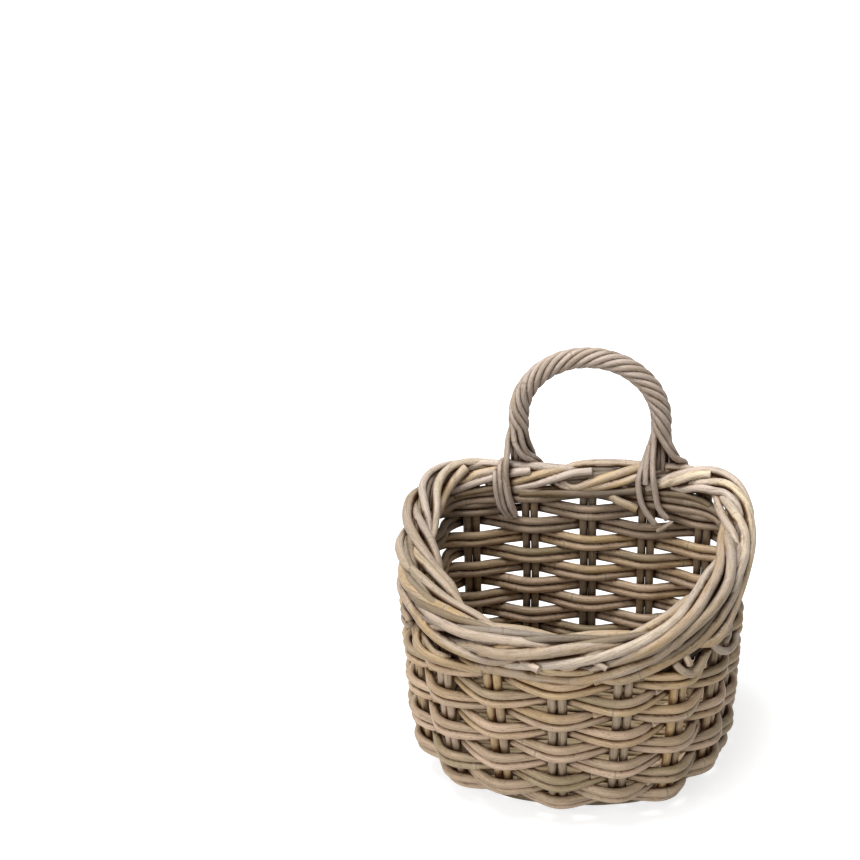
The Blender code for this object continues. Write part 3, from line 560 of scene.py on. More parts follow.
# %% Rods of the border, laid one by one
# A rod is its radius in mm, its tone and its key points: stake number, mm out of the stake
# line, mm above the ground. Stake 0 is mid back, and the numbers go on round by the left.
LAID_RODS = [
    (3.7, 0.80, [17.13, -0.1, 180.3, 17.53, 4.6, 183.2, 17.98, 3.8, 189.2, 18.43, -2.0, 191.5,
     18.90, -2.7, 192.8, 19.37, -2.6, 192.8, 19.83, -0.4, 192.7, 20.26, -0.2, 188.1, 20.73, -0.9, 184.7]),
    (3.6, 0.23, [-0.06, -0.2, 180.0, 0.23, 3.2, 180.7, 0.57, 5.5, 183.5, 0.91, 5.1, 187.1, 1.24, 0.9, 188.9,
     1.56, -5.7, 189.0, 1.91, -7.5, 186.6, 2.24, -5.1, 180.2, 2.51, -1.0, 184.5]),
    (3.4, 0.80, [-0.06, -6.4, 192.0, 0.26, -6.9, 189.8, 0.60, -7.8, 184.0, 0.94, -7.4, 178.2,
     1.29, -6.4, 174.8, 1.62, -5.5, 174.6, 1.85, -0.9, 183.9]),
    (3.5, 0.90, [0.53, -0.1, 179.4, 1.01, 4.8, 182.3, 1.52, 3.5, 189.3, 2.05, -0.6, 194.7,
     2.63, -5.2, 193.3, 3.26, -7.7, 188.2, 3.82, -11.9, 181.2, 4.37, -13.2, 173.7, 4.91, -10.4, 166.4]),
    (3.4, 0.80, [0.83, -0.2, 179.0, 1.30, 4.4, 181.5, 1.80, 4.9, 187.9, 2.29, 2.2, 193.4, 2.81, 4.5, 193.0,
     3.33, 3.6, 190.4, 3.87, -3.2, 186.3, 4.35, -9.7, 176.7, 4.85, -10.2, 167.0]),
    (3.6, 0.80, [0.99, -6.9, 190.3, 1.26, -7.8, 188.6, 1.55, -8.5, 185.0, 1.86, -8.4, 181.1,
     2.19, -7.8, 177.0, 2.53, -6.3, 175.8, 2.73, -1.1, 183.7]),
    (4.2, 0.10, [2.14, -6.2, 191.8, 2.43, -9.2, 186.2, 2.79, -10.4, 181.0, 3.14, -11.1, 178.6,
     3.46, -11.8, 177.6, 3.74, -10.7, 176.2, 3.98, -4.7, 174.8]),
    (4.2, 0.45, [2.31, -0.4, 180.0, 2.92, 4.9, 182.2, 3.57, 10.7, 184.8, 4.26, 7.7, 181.8,
     4.93, -3.7, 179.5, 5.60, -16.1, 172.7, 6.39, -24.4, 165.1, 7.12, -16.0, 156.9, 7.75, -4.1, 146.2]),
    (3.8, 0.39, [2.91, -0.2, 178.4, 3.28, 4.2, 178.1, 3.70, 4.4, 181.1, 4.14, 0.7, 182.3, 4.54, -7.0, 181.9,
     4.95, -15.3, 178.2, 5.39, -20.6, 171.1, 5.83, -20.5, 162.2, 6.23, -15.0, 153.8]),
    (3.9, 0.30, [3.66, -1.5, 172.2, 4.24, 6.0, 173.9, 4.88, 8.9, 174.0, 5.51, 3.3, 172.2, 6.15, -5.5, 171.0,
     6.84, -12.1, 166.4, 7.58, -11.4, 165.6, 8.18, -4.1, 158.0, 8.74, -1.3, 144.0]),
    (3.9, 0.22, [3.92, -2.1, 169.9, 4.35, 3.3, 170.2, 4.84, 0.4, 173.2, 5.35, -5.6, 174.5,
     5.85, -13.5, 172.6, 6.39, -20.3, 167.3, 6.99, -18.8, 162.2, 7.46, -10.3, 153.7, 7.90, -2.9, 146.4]),
    (4.0, 0.05, [4.49, -4.2, 164.6, 4.97, 2.7, 164.3, 5.50, 5.5, 167.0, 6.03, 5.6, 166.9, 6.56, 0.7, 166.5,
     7.10, -2.9, 165.9, 7.66, -2.8, 163.9, 8.18, -2.8, 155.4, 8.65, -1.5, 144.4]),
    (4.1, 0.60, [4.79, -5.9, 161.7, 5.31, 3.4, 161.1, 5.87, 8.1, 160.7, 6.44, 6.5, 155.4, 6.99, 7.6, 150.0,
     7.53, 7.7, 146.6, 8.09, 4.3, 143.8, 8.60, -0.2, 149.9, 9.07, -1.0, 143.9]),
    (3.8, 0.72, [5.60, -8.1, 153.7, 6.04, 1.7, 155.1, 6.56, 2.1, 159.6, 7.10, 4.9, 160.4, 7.63, 5.8, 160.3,
     8.15, 4.9, 161.7, 8.70, 2.5, 160.8, 9.21, -1.1, 153.8, 9.72, -1.4, 145.2]),
    (4.1, 0.30, [6.35, -8.6, 146.5, 6.71, 2.1, 147.9, 7.12, 3.7, 156.4, 7.54, -3.2, 162.1,
     8.01, -4.2, 164.7, 8.50, -4.8, 165.6, 8.98, -3.7, 161.8, 9.41, -1.9, 153.1, 9.85, -1.5, 145.4]),
    (4.5, 0.50, [6.83, -7.1, 141.8, 7.26, 1.8, 144.4, 7.71, 5.3, 151.9, 8.19, 8.6, 152.5, 8.69, 7.2, 155.6,
     9.19, 5.1, 159.9, 9.70, 1.4, 161.8, 10.21, -2.5, 157.6, 10.74, -3.7, 152.0]),
    (3.9, 0.05, [7.41, -4.9, 139.3, 7.76, 3.3, 144.4, 8.16, 5.0, 154.6, 8.59, 0.6, 160.2, 9.04, -2.2, 162.3,
     9.51, -4.4, 165.7, 10.01, -4.6, 164.8, 10.50, -4.1, 159.1, 10.98, -4.1, 154.4]),
    (4.1, 0.86, [7.97, -1.4, 139.9, 8.62, 4.9, 145.0, 9.31, 7.5, 151.7, 10.02, 5.4, 160.4,
     10.74, 0.3, 169.6, 11.50, -9.7, 174.5, 12.36, -13.8, 176.5, 13.16, -8.5, 175.6, 13.89, -1.9, 174.6]),
    (4.0, 0.25, [8.63, -0.7, 137.9, 9.04, 4.4, 142.7, 9.45, 4.7, 154.2, 9.88, -0.6, 160.6,
     10.36, -5.0, 166.8, 10.89, -8.3, 171.8, 11.46, -12.7, 172.9, 11.99, -10.7, 169.3, 12.48, -5.4, 165.6]),
    (3.8, 0.56, [9.12, -0.4, 137.1, 9.71, 3.5, 148.1, 10.36, 6.9, 159.5, 11.05, 3.3, 170.7,
     11.79, -3.4, 178.0, 12.58, -6.7, 180.2, 13.38, -9.5, 180.7, 14.15, -7.9, 180.3, 14.90, -3.4, 182.1]),
    (4.1, 0.35, [9.93, -0.7, 139.0, 10.43, 3.2, 148.6, 10.95, 5.7, 162.1, 11.54, 5.8, 170.8,
     12.15, 4.3, 177.0, 12.77, 0.3, 181.8, 13.44, -4.0, 182.2, 14.09, -5.8, 180.1, 14.72, -3.1, 180.8]),
    (3.8, 0.90, [11.37, -2.9, 150.8, 11.83, 2.3, 158.8, 12.30, 5.3, 170.1, 12.84, 6.8, 176.4,
     13.38, 7.7, 178.9, 13.93, 6.3, 183.4, 14.46, -1.8, 188.1, 15.04, -7.2, 186.4, 15.68, -2.2, 185.4]),
    (4.0, 0.41, [11.52, -3.3, 152.2, 11.84, 2.2, 157.7, 12.18, 2.8, 166.3, 12.56, 3.1, 173.4,
     12.95, 3.3, 177.5, 13.35, 3.5, 178.3, 13.76, 4.1, 177.8, 14.13, -0.9, 179.5, 14.52, -2.7, 179.5]),
    (3.6, 0.95, [12.36, -3.6, 158.8, 12.80, 4.2, 164.3, 13.27, 10.7, 172.1, 13.79, 12.7, 177.0,
     14.32, 11.7, 181.1, 14.83, 7.9, 187.2, 15.31, -1.4, 193.2, 15.92, -5.8, 188.9, 16.45, -1.1, 185.2]),
    (3.4, 0.75, [12.65, -2.5, 160.5, 12.99, 2.9, 164.9, 13.35, 3.4, 173.3, 13.67, -1.1, 183.8,
     14.07, -6.4, 184.9, 14.49, -10.6, 184.4, 14.95, -12.8, 183.5, 15.48, -9.0, 183.0, 15.94, -1.5, 185.2]),
    (3.4, 0.80, [13.61, -1.1, 167.1, 13.94, 3.2, 170.9, 14.29, 4.5, 178.1, 14.64, 1.6, 186.6,
     14.99, -5.5, 190.9, 15.45, -12.0, 187.9, 16.07, -9.9, 184.9, 16.44, -5.4, 179.8, 16.73, -0.9, 184.6]),
    (3.5, 0.76, [13.68, -1.1, 167.5, 14.10, 5.0, 173.3, 14.54, 10.7, 181.7, 15.01, 8.8, 187.6,
     15.45, 5.6, 194.0, 15.93, 2.8, 196.5, 16.42, -3.2, 192.4, 16.89, -4.8, 183.7, 17.30, -0.9, 184.7]),
    (3.5, 0.72, [14.70, -1.7, 175.2, 15.22, 4.1, 181.9, 15.76, 4.1, 189.9, 16.37, 3.1, 195.2,
     16.98, 3.5, 195.3, 17.58, 3.8, 195.9, 18.17, 1.1, 194.4, 18.71, -2.3, 185.1, 19.25, -0.7, 184.2]),
    (3.6, 0.19, [15.45, -1.4, 180.5, 15.85, 3.5, 182.0, 16.26, 5.3, 186.7, 16.69, 2.8, 191.4,
     17.09, -4.2, 189.1, 17.50, -7.5, 183.3, 17.92, -6.2, 177.9, 18.35, -4.7, 176.4, 18.71, -0.8, 183.4]),
    (3.7, 0.22, [15.63, -1.0, 180.5, 16.00, 3.5, 181.7, 16.38, 5.6, 185.9, 16.77, 4.4, 191.6,
     17.14, 0.1, 193.9, 17.51, -5.5, 190.2, 17.89, -7.1, 183.7, 18.24, -5.5, 177.3, 18.53, -0.9, 183.6]),
    (3.6, 0.97, [15.86, -1.4, 194.4, 16.16, -5.2, 193.1, 16.47, -7.8, 188.8, 16.77, -7.4, 183.6,
     17.05, -6.0, 178.1, 17.31, -4.6, 176.9, 17.51, -0.9, 184.3]),
    (3.5, 0.25, [16.86, -0.2, 180.3, 17.22, 3.8, 181.6, 17.63, 5.6, 185.9, 18.04, 3.6, 190.4,
     18.42, -2.2, 191.0, 18.82, -6.3, 187.4, 19.22, -6.9, 181.1, 19.60, -5.9, 175.7, 19.88, -1.0, 184.0]),
    (3.4, 0.55, [6.30, -8.9, 147.0, 6.55, 0.2, 144.2, 6.73, 12.2, 139.2, 6.98, 14.1, 134.8,
     7.28, 10.1, 133.3, 7.59, 6.8, 133.6, 7.91, 5.4, 133.9]),
    (3.9, 0.00, [7.37, -5.0, 138.8, 7.66, 4.0, 135.4, 8.05, 3.6, 136.3, 8.47, 2.7, 136.1, 8.89, 3.0, 134.8,
     9.31, 3.7, 135.2, 9.71, 5.1, 139.8, 10.10, 5.6, 145.3, 10.49, 1.5, 149.2]),
    (3.2, 0.16, [8.54, 1.4, 142.9, 8.78, 5.6, 142.8, 9.07, 6.6, 142.3, 9.35, 4.7, 142.2, 9.60, 1.8, 142.6]),
    (3.1, 0.75, [8.49, 3.0, 147.0, 8.59, 7.0, 147.0, 8.69, 10.5, 147.0, 8.77, 12.5, 146.0]),
    (3.8, 0.10, [9.53, -0.4, 137.5, 9.89, 4.0, 134.6, 10.31, 3.2, 138.8, 10.75, 3.5, 144.5,
     11.17, 5.0, 149.8, 11.58, 7.3, 158.1, 11.99, 7.5, 165.6, 12.43, 6.6, 168.0, 12.85, 6.5, 169.4]),
    (2.4, 0.50, [9.48, 3.0, 151.5, 9.56, 7.0, 151.0, 9.64, 10.0, 150.0, 9.70, 11.5, 148.5]),
    (2.5, 0.58, [10.53, 2.1, 149.7, 10.64, 4.2, 152.4, 10.79, 4.6, 154.2, 10.93, 3.5, 154.7]),
    (4.0, 0.12, [10.92, -2.4, 147.2, 11.21, 2.3, 148.5, 11.47, 10.1, 148.6, 11.77, 10.9, 153.2,
     12.07, 9.7, 158.6, 12.40, 8.9, 163.1, 12.72, 9.2, 166.7, 13.05, 10.0, 170.3, 13.36, 11.1, 173.8]),
]
print("laid rods:", len(LAID_RODS))


# %% The border
FILLER_RADIUS = 0.0031


def wall_line(keys, count):
    """A smooth line through key points on the wall, made in stake number, way out and height."""
    stake, out, height = smooth_line(np.reshape(keys, (-1, 3)), count).T
    x, y, nx, ny = wall_frame(length_at(stake), LEAN_HEIGHT)
    outward = np.stack([nx, ny, 0 * nx], axis=-1)
    middle = np.stack([x, y, rim_height(y)], axis=-1)
    return np.stack([x, y, height / 1000], axis=-1) + out[:, None] / 1000 * outward, middle, outward


def laid(rods, count):
    """All rods' radii, tones, paths, middle lines of the border and outward directions."""
    radius, tone, keys = zip(*rods)
    lines = zip(*(wall_line(one, count) for one in keys))
    return np.array(radius)[:, None] / 1000, np.array(tone), *(np.array(line) for line in lines)


def make_border():
    """Every laid rod, with its reference side away from the border's middle line."""
    radius, tone, paths, middles, _ = laid(LAID_RODS, 90)
    # Painted shade, deepest at the front and more on the left side.
    painted_shade = 0.22 * (1 - back_share(paths[..., 1])) ** 0.3 + 0.09 * np.clip(-paths[..., 0] / HALF_WIDTH, 0, 1)
    nodes = [f"border_strand_{k + 1}" for k in range(6)]
    make_canes("border", paths, paths - middles, radius, nodes, "border_cane", painted_shade=painted_shade, tone=tone)


def make_border_core():
    """Seven rods right round inside the border, wound three times about its middle.

    They go out by 4.6 mm * cos(turn) and up by (half height - 6.8 mm) * sin(turn).
    """
    stake = np.linspace(0, STAKES, 400)[None]
    x, y, nx, ny = wall_frame(length_at(stake), LEAN_HEIGHT)
    turn = 2 * math.pi * (np.arange(7)[:, None] / 7 + stake * 3 / STAKES)
    out, up = 0.0046 * np.cos(turn), (border_half_height(y) - 0.0068) * np.sin(turn)
    paths = np.stack([x + out * nx, y + out * ny, rim_height(y) - 0.0015 + up], axis=-1)
    # The core rods get a heavy painted shade.
    make_canes("border_core", paths, UP, FILLER_RADIUS, [], "border_cane", painted_shade=0.68)


def make_packing():
    """Two rods under the border from side to side past the front, where the weave ends in steps."""
    stake = np.linspace(3.6, 14.4, 260)[None]
    length = length_at(stake)
    x, y, nx, ny = wall_frame(length, LEAN_HEIGHT)
    sink = border_half_height(y) + np.array([[0.0015], [0.0065]]) + 0.0006 * wander(length, 0.11)
    out = np.array([[-0.0035], [-0.0045]]) + 0.0008 * wander(length, 0.08)
    paths = np.stack([x + out * nx, y + out * ny, rim_height(y) - sink], axis=-1)
    # The packing rods get a heavy painted shade.
    make_canes("border_packing", paths, UP, FILLER_RADIUS, [], "border_cane", painted_shade=0.58)


make_border()
make_border_core()
make_packing()

# %% [markdown]
# Some stake ends don't join the border. They are folded back against the wall just under it, in
# short hairpins, or cut off. Three thin rods and a peg show under the border inside the back.

# %% Folded ends under the border
# Values as for a laid rod. The last end is a short peg inside the back.
FOLDED_ENDS = [
    (3.0, 0.30, [6.66, 4.0, 142.0, 6.88, 8.5, 141.5, 7.01, 9.5, 139.0, 7.14, 9.5, 137.0, 7.26, 8.5, 137.0,
     7.31, 5.0, 135.5]),
    (3.1, 0.30, [10.80, 1.0, 142.5, 10.83, 6.0, 137.5, 10.93, 8.3, 132.5, 11.05, 8.6, 129.5,
     11.17, 8.3, 131.0, 11.30, 7.5, 135.0, 11.47, 5.5, 139.0, 11.73, 2.0, 140.5]),
    (2.6, 0.10, [10.95, 2.0, 146.0, 10.94, 7.5, 144.0, 10.95, 9.8, 141.5, 10.97, 10.2, 139.0]),
    (2.9, 0.25, [11.64, 1.0, 148.5, 11.44, 8.0, 149.5, 11.51, 9.5, 143.5, 11.69, 9.8, 136.0,
     11.89, 10.5, 131.0, 12.13, 10.5, 129.0, 12.42, 8.0, 128.0, 13.34, 3.0, 111.5]),
    (3.4, 0.00, [19.17, -7.5, 169.5, 18.73, -8.0, 171.5, 18.31, -8.0, 172.0, 17.88, -8.0, 173.0,
     17.49, -8.0, 175.5, 17.03, -8.0, 178.5]),
    (3.4, 0.10, [17.29, -7.0, 175.5, 16.94, -7.5, 176.0, 16.55, -8.0, 176.5, 16.18, -8.0, 175.5,
     15.73, -7.0, 170.5]),
    (3.4, 0.10, [20.47, -7.0, 169.5, 20.14, -8.0, 171.0, 19.87, -8.5, 172.5, 19.60, -8.5, 174.5,
     19.31, -7.0, 175.0]),
    (3.8, 0.15, [17.60, -7.5, 171.5, 17.51, -11.5, 170.1, 17.41, -13.5, 168.5, 17.27, -14.0, 166.4,
     17.15, -14.5, 164.5]),
]


def make_folded_ends():
    """Each folded end lies along the wall, so its reference side is the wall's outward direction."""
    radius, tone, paths, _, outward = laid(FOLDED_ENDS, 50)
    # Painted shade: heavy on the ends under the border at the back, light on those at the front, and between
    # the two on the peg.
    painted_shade = np.where(paths[..., 1].mean(axis=1, keepdims=True) > 0.05, 0.74, 0.22)
    painted_shade[-1] = 0.38
    make_canes("folded_ends", paths, outward, radius, [], "border_cane", painted_shade=painted_shade, tone=tone)


make_folded_ends()

# %% [markdown]
# The carrying loop is a rope of seven thin canes wound on a core. It is a helix about an arch:
# two straight legs and half an ellipse. At each foot the canes part. Some lie over the inner
# face of the border in plain sight, the others go down behind it on the wall's side, and the
# ends are pushed into the weave.

# %% The loop's middle line
LOOP_Y = WIDEST_LINE_Y + BACK_REACH
LOOP_HALF_WIDTH, LOOP_SPRING_Z, LOOP_RISE, LOOP_FOOT_Z = 0.0575, 0.2357, 0.052, 0.1989
CORE_RADIUS, CORE_OFFSET, CORE_SINK = 0.0021, 0.0019, 0.02


def arch(share):
    """The loop's middle line at a share of its length, and the direction out of the arch."""
    leg = np.linspace(LOOP_FOOT_Z, LOOP_SPRING_Z, 80)
    angle = np.linspace(math.pi, 0, 400)[1:-1]
    x = LOOP_HALF_WIDTH * np.concatenate([0 * leg - 1, np.cos(angle), 0 * leg + 1])
    z = np.concatenate([leg, LOOP_SPRING_Z + LOOP_RISE * np.sin(angle), leg[::-1]])
    along = walked(np.stack([x, z], axis=-1))
    place = share * along[-1]
    step = 0.002
    dx = np.interp(place + step, along, x) - np.interp(place - step, along, x)
    dz = np.interp(place + step, along, z) - np.interp(place - step, along, z)
    size = np.hypot(dx, dz)
    return np.interp(place, along, x), np.interp(place, along, z), -dz / size, dx / size


def make_core():
    """Two canes side by side inside the rope, down into the border at both feet."""
    x, z, sx, sz = arch(np.linspace(0, 1, 60))
    offset = CORE_OFFSET * np.array([[-1.0], [1.0]])
    paths = np.stack([x + offset * sx, LOOP_Y + 0 * x + 0 * offset, z + offset * sz], axis=-1)
    sink = [0, 0, CORE_SINK]
    paths = np.concatenate([paths[:, :1] - sink, paths, paths[:, -1:] - sink], axis=1)
    make_canes("loop_core", smooth_line(paths, 160), [0, 1.0, 0], CORE_RADIUS, ["handle_core"], "loop_cane")


make_core()

# %% [markdown]
# The ends of the rope's canes are drawn by key points, in millimetres, from the rope's foot down.
# The left foot has one cane over the inside, two that cross to the right, and four behind; the
# right foot has two over the inside, which end askew, and five behind. Three more canes lash
# the left foot to the border.

# %% The rope and its tails
# One row for each cane: x, y and z of its six key points.
LEFT_TAILS = [
    [-65.6, 106.5, 216.5, -66.0, 101.5, 208.0, -66.3, 97.0, 199.5, -66.4, 94.9, 188.3, -63.9, 94.8, 170.6,
     -59.3, 97.0, 153.7],
    [-64.8, 112.0, 214.0, -64.0, 116.5, 205.0, -63.6, 121.5, 197.0, -64.0, 124.7, 187.0,
     -65.0, 124.7, 172.0, -65.8, 119.5, 150.0],
    [-60.8, 117.0, 214.0, -60.0, 120.5, 205.0, -58.8, 123.8, 196.0, -59.0, 124.7, 186.0,
     -60.0, 124.7, 177.0, -60.6, 119.0, 164.0],
    [-55.0, 117.5, 214.0, -54.0, 121.5, 204.0, -53.2, 124.4, 194.0, -53.6, 124.7, 184.0,
     -54.6, 124.7, 170.0, -55.4, 119.5, 147.0],
    [-51.0, 112.5, 214.0, -49.0, 117.5, 205.0, -47.8, 122.8, 198.0, -47.6, 124.7, 187.0,
     -48.6, 124.7, 177.0, -49.4, 119.0, 163.0],
    [-54.5, 104.3, 216.0, -52.5, 105.5, 209.0, -49.5, 108.5, 203.0, -45.5, 112.5, 198.5,
     -41.4, 117.0, 193.1, -39.0, 121.5, 185.4],
    [-60.2, 104.0, 215.5, -57.5, 103.0, 209.0, -53.4, 104.5, 202.8, -47.5, 109.0, 197.4,
     -42.3, 114.0, 191.1, -40.4, 119.0, 182.8],
]
RIGHT_TAILS = [
    [62.5, 104.8, 216.0, 68.5, 107.0, 207.0, 74.0, 112.0, 202.0, 77.0, 119.5, 197.0, 78.0, 124.2, 188.0,
     78.5, 119.5, 168.0],
    [66.5, 109.5, 214.0, 69.5, 115.0, 206.0, 71.5, 121.0, 199.0, 72.5, 124.5, 190.0, 73.0, 124.7, 175.0,
     73.6, 119.5, 150.0],
    [64.5, 115.0, 213.0, 65.8, 119.5, 204.0, 66.8, 123.8, 195.0, 67.4, 124.7, 186.0, 68.0, 124.7, 177.0,
     68.6, 119.0, 163.0],
    [59.5, 118.0, 213.0, 60.5, 121.5, 204.0, 61.5, 124.2, 195.0, 62.2, 124.7, 186.0, 62.8, 124.7, 173.0,
     63.4, 119.5, 147.0],
    [53.5, 117.5, 213.0, 54.5, 121.5, 204.0, 56.0, 124.2, 195.0, 56.8, 124.7, 186.0, 57.4, 124.7, 176.0,
     58.0, 119.0, 160.0],
    [49.2, 109.5, 216.0, 45.6, 103.5, 206.0, 42.4, 97.2, 196.0, 41.4, 95.2, 184.0, 45.3, 94.6, 167.0,
     56.0, 95.0, 151.0],
    [52.2, 104.8, 215.0, 51.8, 100.6, 205.0, 52.6, 96.0, 194.0, 54.6, 95.0, 182.0, 58.0, 94.6, 167.0,
     65.0, 95.0, 157.0],
]
ROPE_CANES, ROPE_RADIUS, ROPE_REACH, ROPE_TURNS = 7, 0.00258, 0.0060, 2.75


def make_rope():
    """Seven canes: place = arch + reach * (cos(phase) * outward + sin(phase) * towards the wall).

    The phase grows evenly by 2.75 turns. Six key points at each end then lead each cane down.
    """
    share = np.linspace(0.105, 0.895, 52)
    x, z, sx, sz = arch(share)
    turns = ROPE_TURNS * (share - share[0]) / (share[-1] - share[0])
    phase = 2 * math.pi * (np.arange(ROPE_CANES)[:, None] / ROPE_CANES + turns)
    reach = ROPE_REACH * np.cos(phase)
    wound = np.stack([x + reach * sx, LOOP_Y + ROPE_REACH * np.sin(phase), z + reach * sz], axis=-1)
    left, right = (np.reshape(tails, (ROPE_CANES, -1, 3)) / 1000 for tails in (LEFT_TAILS, RIGHT_TAILS))
    paths = smooth_line(np.concatenate([left[:, ::-1], wound, right], axis=1), 380)
    nodes = [f"handle_strand_{k + 1}" for k in range(ROPE_CANES)]
    make_canes("loop_rope", paths, paths - [0, LOOP_Y, 0.2], ROPE_RADIUS, nodes, "loop_cane")


make_rope()

# %% Loose ends at the feet
# Three lashings at the left foot, then a short stub and a slanting end at the right.
LOOSE_ENDS = [
    [-74.6, 119.0, 160.0, -74.4, 123.6, 174.0, -74.2, 117.0, 185.5, -75.6, 109.0, 188.4,
     -75.6, 100.0, 189.1, -75.1, 95.8, 183.8, -74.2, 94.8, 173.6, -71.4, 95.2, 161.0, -65.2, 98.0, 151.1],
    [-70.0, 120.0, 166.0, -70.0, 123.6, 182.0, -70.1, 117.0, 192.0, -71.5, 108.0, 195.5, -71.4, 98.5, 193.0,
     -70.9, 95.4, 184.2, -70.0, 94.6, 173.9, -67.3, 95.0, 160.4, -61.9, 98.0, 150.3],
    [-69.0, 121.0, 176.0, -67.6, 119.0, 186.0, -66.8, 114.0, 193.0, -67.7, 107.0, 195.5, -67.7, 98.5, 193.0,
     -66.8, 95.0, 184.5, -65.5, 94.0, 174.3, -62.7, 94.4, 161.7, -58.5, 97.0, 151.9],
    [48.5, 106.0, 216.0, 48.1, 104.0, 212.0, 47.6, 101.6, 208.0, 47.3, 100.0, 205.0, 47.0, 98.6, 202.0,
     46.8, 97.2, 198.0, 46.8, 96.2, 194.5, 46.9, 95.6, 191.0, 47.0, 95.0, 187.0],
    [57.7, 91.5, 147.3, 59.1, 91.4, 148.3, 60.5, 91.3, 149.3, 61.9, 91.2, 150.3, 63.3, 91.2, 151.3,
     64.6, 91.2, 152.4, 66.0, 91.3, 153.4, 67.6, 91.6, 154.5, 69.1, 92.0, 155.5],
]
LOOSE_RADIUS = np.array([[0.00255]] * 4 + [[0.0022]])
# Only the slanting end gets painted shade.
LOOSE_PAINTED_SHADE = np.array([[0.0]] * 4 + [[0.35]])


def make_loose_ends():
    """Smooth lines through the key points, all five with one slanting reference side."""
    paths = smooth_line(np.reshape(LOOSE_ENDS, (len(LOOSE_ENDS), -1, 3)) / 1000, 90)
    make_canes("loop_loose_ends", paths, [0.95, -0.2, 0.2], LOOSE_RADIUS, [], "loop_cane", painted_shade=LOOSE_PAINTED_SHADE)


make_loose_ends()

# %% [markdown]
# The base is hidden in most views but shows through the weave and from below. Five sticks run
# from front to back, and a cane is woven across them, over one stick and under the next.

# %% The base
STICKS, STICK_RADIUS, STICK_Z = 5, 0.0038, 0.0040
MAT_ROWS, MAT_RADIUS, MAT_Z, MAT_WAVE = 27, 0.0029, 0.0105, 0.0012


def base_ring(height, inset):
    """The plan at a height near the ground, drawn in by an inset, as a closed ring of points."""
    return wall_point(np.linspace(0, GIRTH, 1441), height, -inset)


def make_sticks():
    """Straight sticks that stand on the ground, each as long as the plan allows."""
    x = (np.arange(STICKS) / 2 - 1) * 0.6 * HALF_WIDTH
    ring = base_ring(0.0095, 0.0273)
    ends = []
    for half in (ring[ring[:, 1] < WIDEST_LINE_Y], ring[ring[:, 1] > WIDEST_LINE_Y]):
        order = np.argsort(half[:, 0])
        ends.append(np.interp(x, half[order, 0], half[order, 1]))
    y = np.linspace(ends[0], ends[1], 40, axis=1)
    paths = np.stack([drawn_in(x)[:, None] + 0 * y, y, STICK_Z + 0 * y], axis=-1)
    nodes = [f"base_stick_{k + 1}" for k in range(STICKS)]
    make_canes("base_sticks", paths, [1.0, 0, 0], STICK_RADIUS, nodes, "base_cane")


def make_foot_rods():
    """Three rods right round under the lowest row, where the base meets the wall, darkened with painted
    shade.
    """
    stake = np.linspace(0, STAKES, 420)[None]
    length = length_at(stake)
    x, y, nx, ny = wall_frame(length, 0.012)
    inset = np.array([[0.0035], [0.0075], [0.0150]]) + 0.0006 * wander(length, 0.15)
    height = np.array([[0.0135], [0.0085], [0.0140]]) + 0.0006 * wander(length, 0.12)
    paths = np.stack([x - inset * nx, y - inset * ny, height], axis=-1)
    make_canes("foot_rods", paths, UP, FILLER_RADIUS, [], "base_cane", painted_shade=0.6)


def make_mat():
    """Canes from side to side, about 6.7 mm apart, that rise and fall by a cosine over the sticks."""
    ring = base_ring(0.010, 0.0080)
    left = ring[ring[:, 0] < 0]
    order = np.argsort(left[:, 1])
    y = np.linspace(-0.0875, 0.0855, MAT_ROWS)[:, None]
    x = np.linspace(-1, 1, 90) * np.interp(y, left[order, 1], -left[order, 0])
    over = np.cos(math.pi * (x / (0.3 * HALF_WIDTH) + np.arange(MAT_ROWS)[:, None]))
    fade = np.clip((0.078 - np.abs(x)) / 0.02, 0, 1)
    paths = np.stack([drawn_in(x), y + 0 * x, MAT_Z + MAT_WAVE * over * fade], axis=-1)
    make_canes("base_mat_canes", paths, UP, MAT_RADIUS, ["base_mat"], "base_cane")


make_sticks()
make_foot_rods()
make_mat()

# %% [markdown]
# Where canes cross and lie close, little light gets in, and some dust gathers. The skin there is
# darkened with painted shade, which also stands for that dust. To find those places, the space
# round the basket is cut into small cells, each holding how much cane is in it, and spread over
# its neighbours. A point of a skin is in a crevice where the cells just in front of it are crowded.

# %% Painted shade and dust in the crevices
CELL, SPREAD, LOOK_AHEAD, MARGIN = 0.0015, 2, 1.45, 0.020
OPEN, CROWDED = 0.12, 0.41


def mark_crevices():
    """Each skin point's crevice value, 0 to 1, from the share of cane 1.45 radii in front of it; it darkens
    the skin as painted shade and dust.
    """
    _, _, _, middles, volumes = zip(*CANES)
    points = np.concatenate(middles)
    low = points.min(axis=0) - MARGIN
    cells = np.ceil((points.max(axis=0) + MARGIN - low) / CELL).astype(int)
    index = np.ravel_multi_index(((points - low) / CELL).astype(int).T, cells)
    full = np.bincount(index, np.concatenate(volumes), np.prod(cells)).reshape(cells) / CELL**3
    for axis in (0, 1, 2, 0, 1, 2):
        total = np.cumsum(full, axis=axis)
        full = (np.roll(total, -SPREAD, axis) - np.roll(total, SPREAD + 1, axis)) / (2 * SPREAD + 1)
    for mesh, places, around, _, _ in CANES:
        ahead = ((places + LOOK_AHEAD * around - low) / CELL).astype(int)
        share = full[tuple(np.clip(ahead, 0, cells - 1).T)]
        keep_values(mesh, "crevice", np.clip((share - OPEN) / (CROWDED - OPEN), 0, 1))
        print(mesh.name, "share of cane in front:", np.round(np.quantile(share, [0.1, 0.5, 0.9]), 2))


mark_crevices()

# %% [markdown]
# The basket stands on a pale floor under soft light. The main lamp hangs high above it, a little
# to the left. A weaker one stands low at the left, beside the camera, and fills the shadows, and
# a pale sky does the rest. The background is white only to the camera and to reflections.

# %% Floor, sky and lamps
FLOOR_HALF, FLOOR_GREY = 12, 0.55


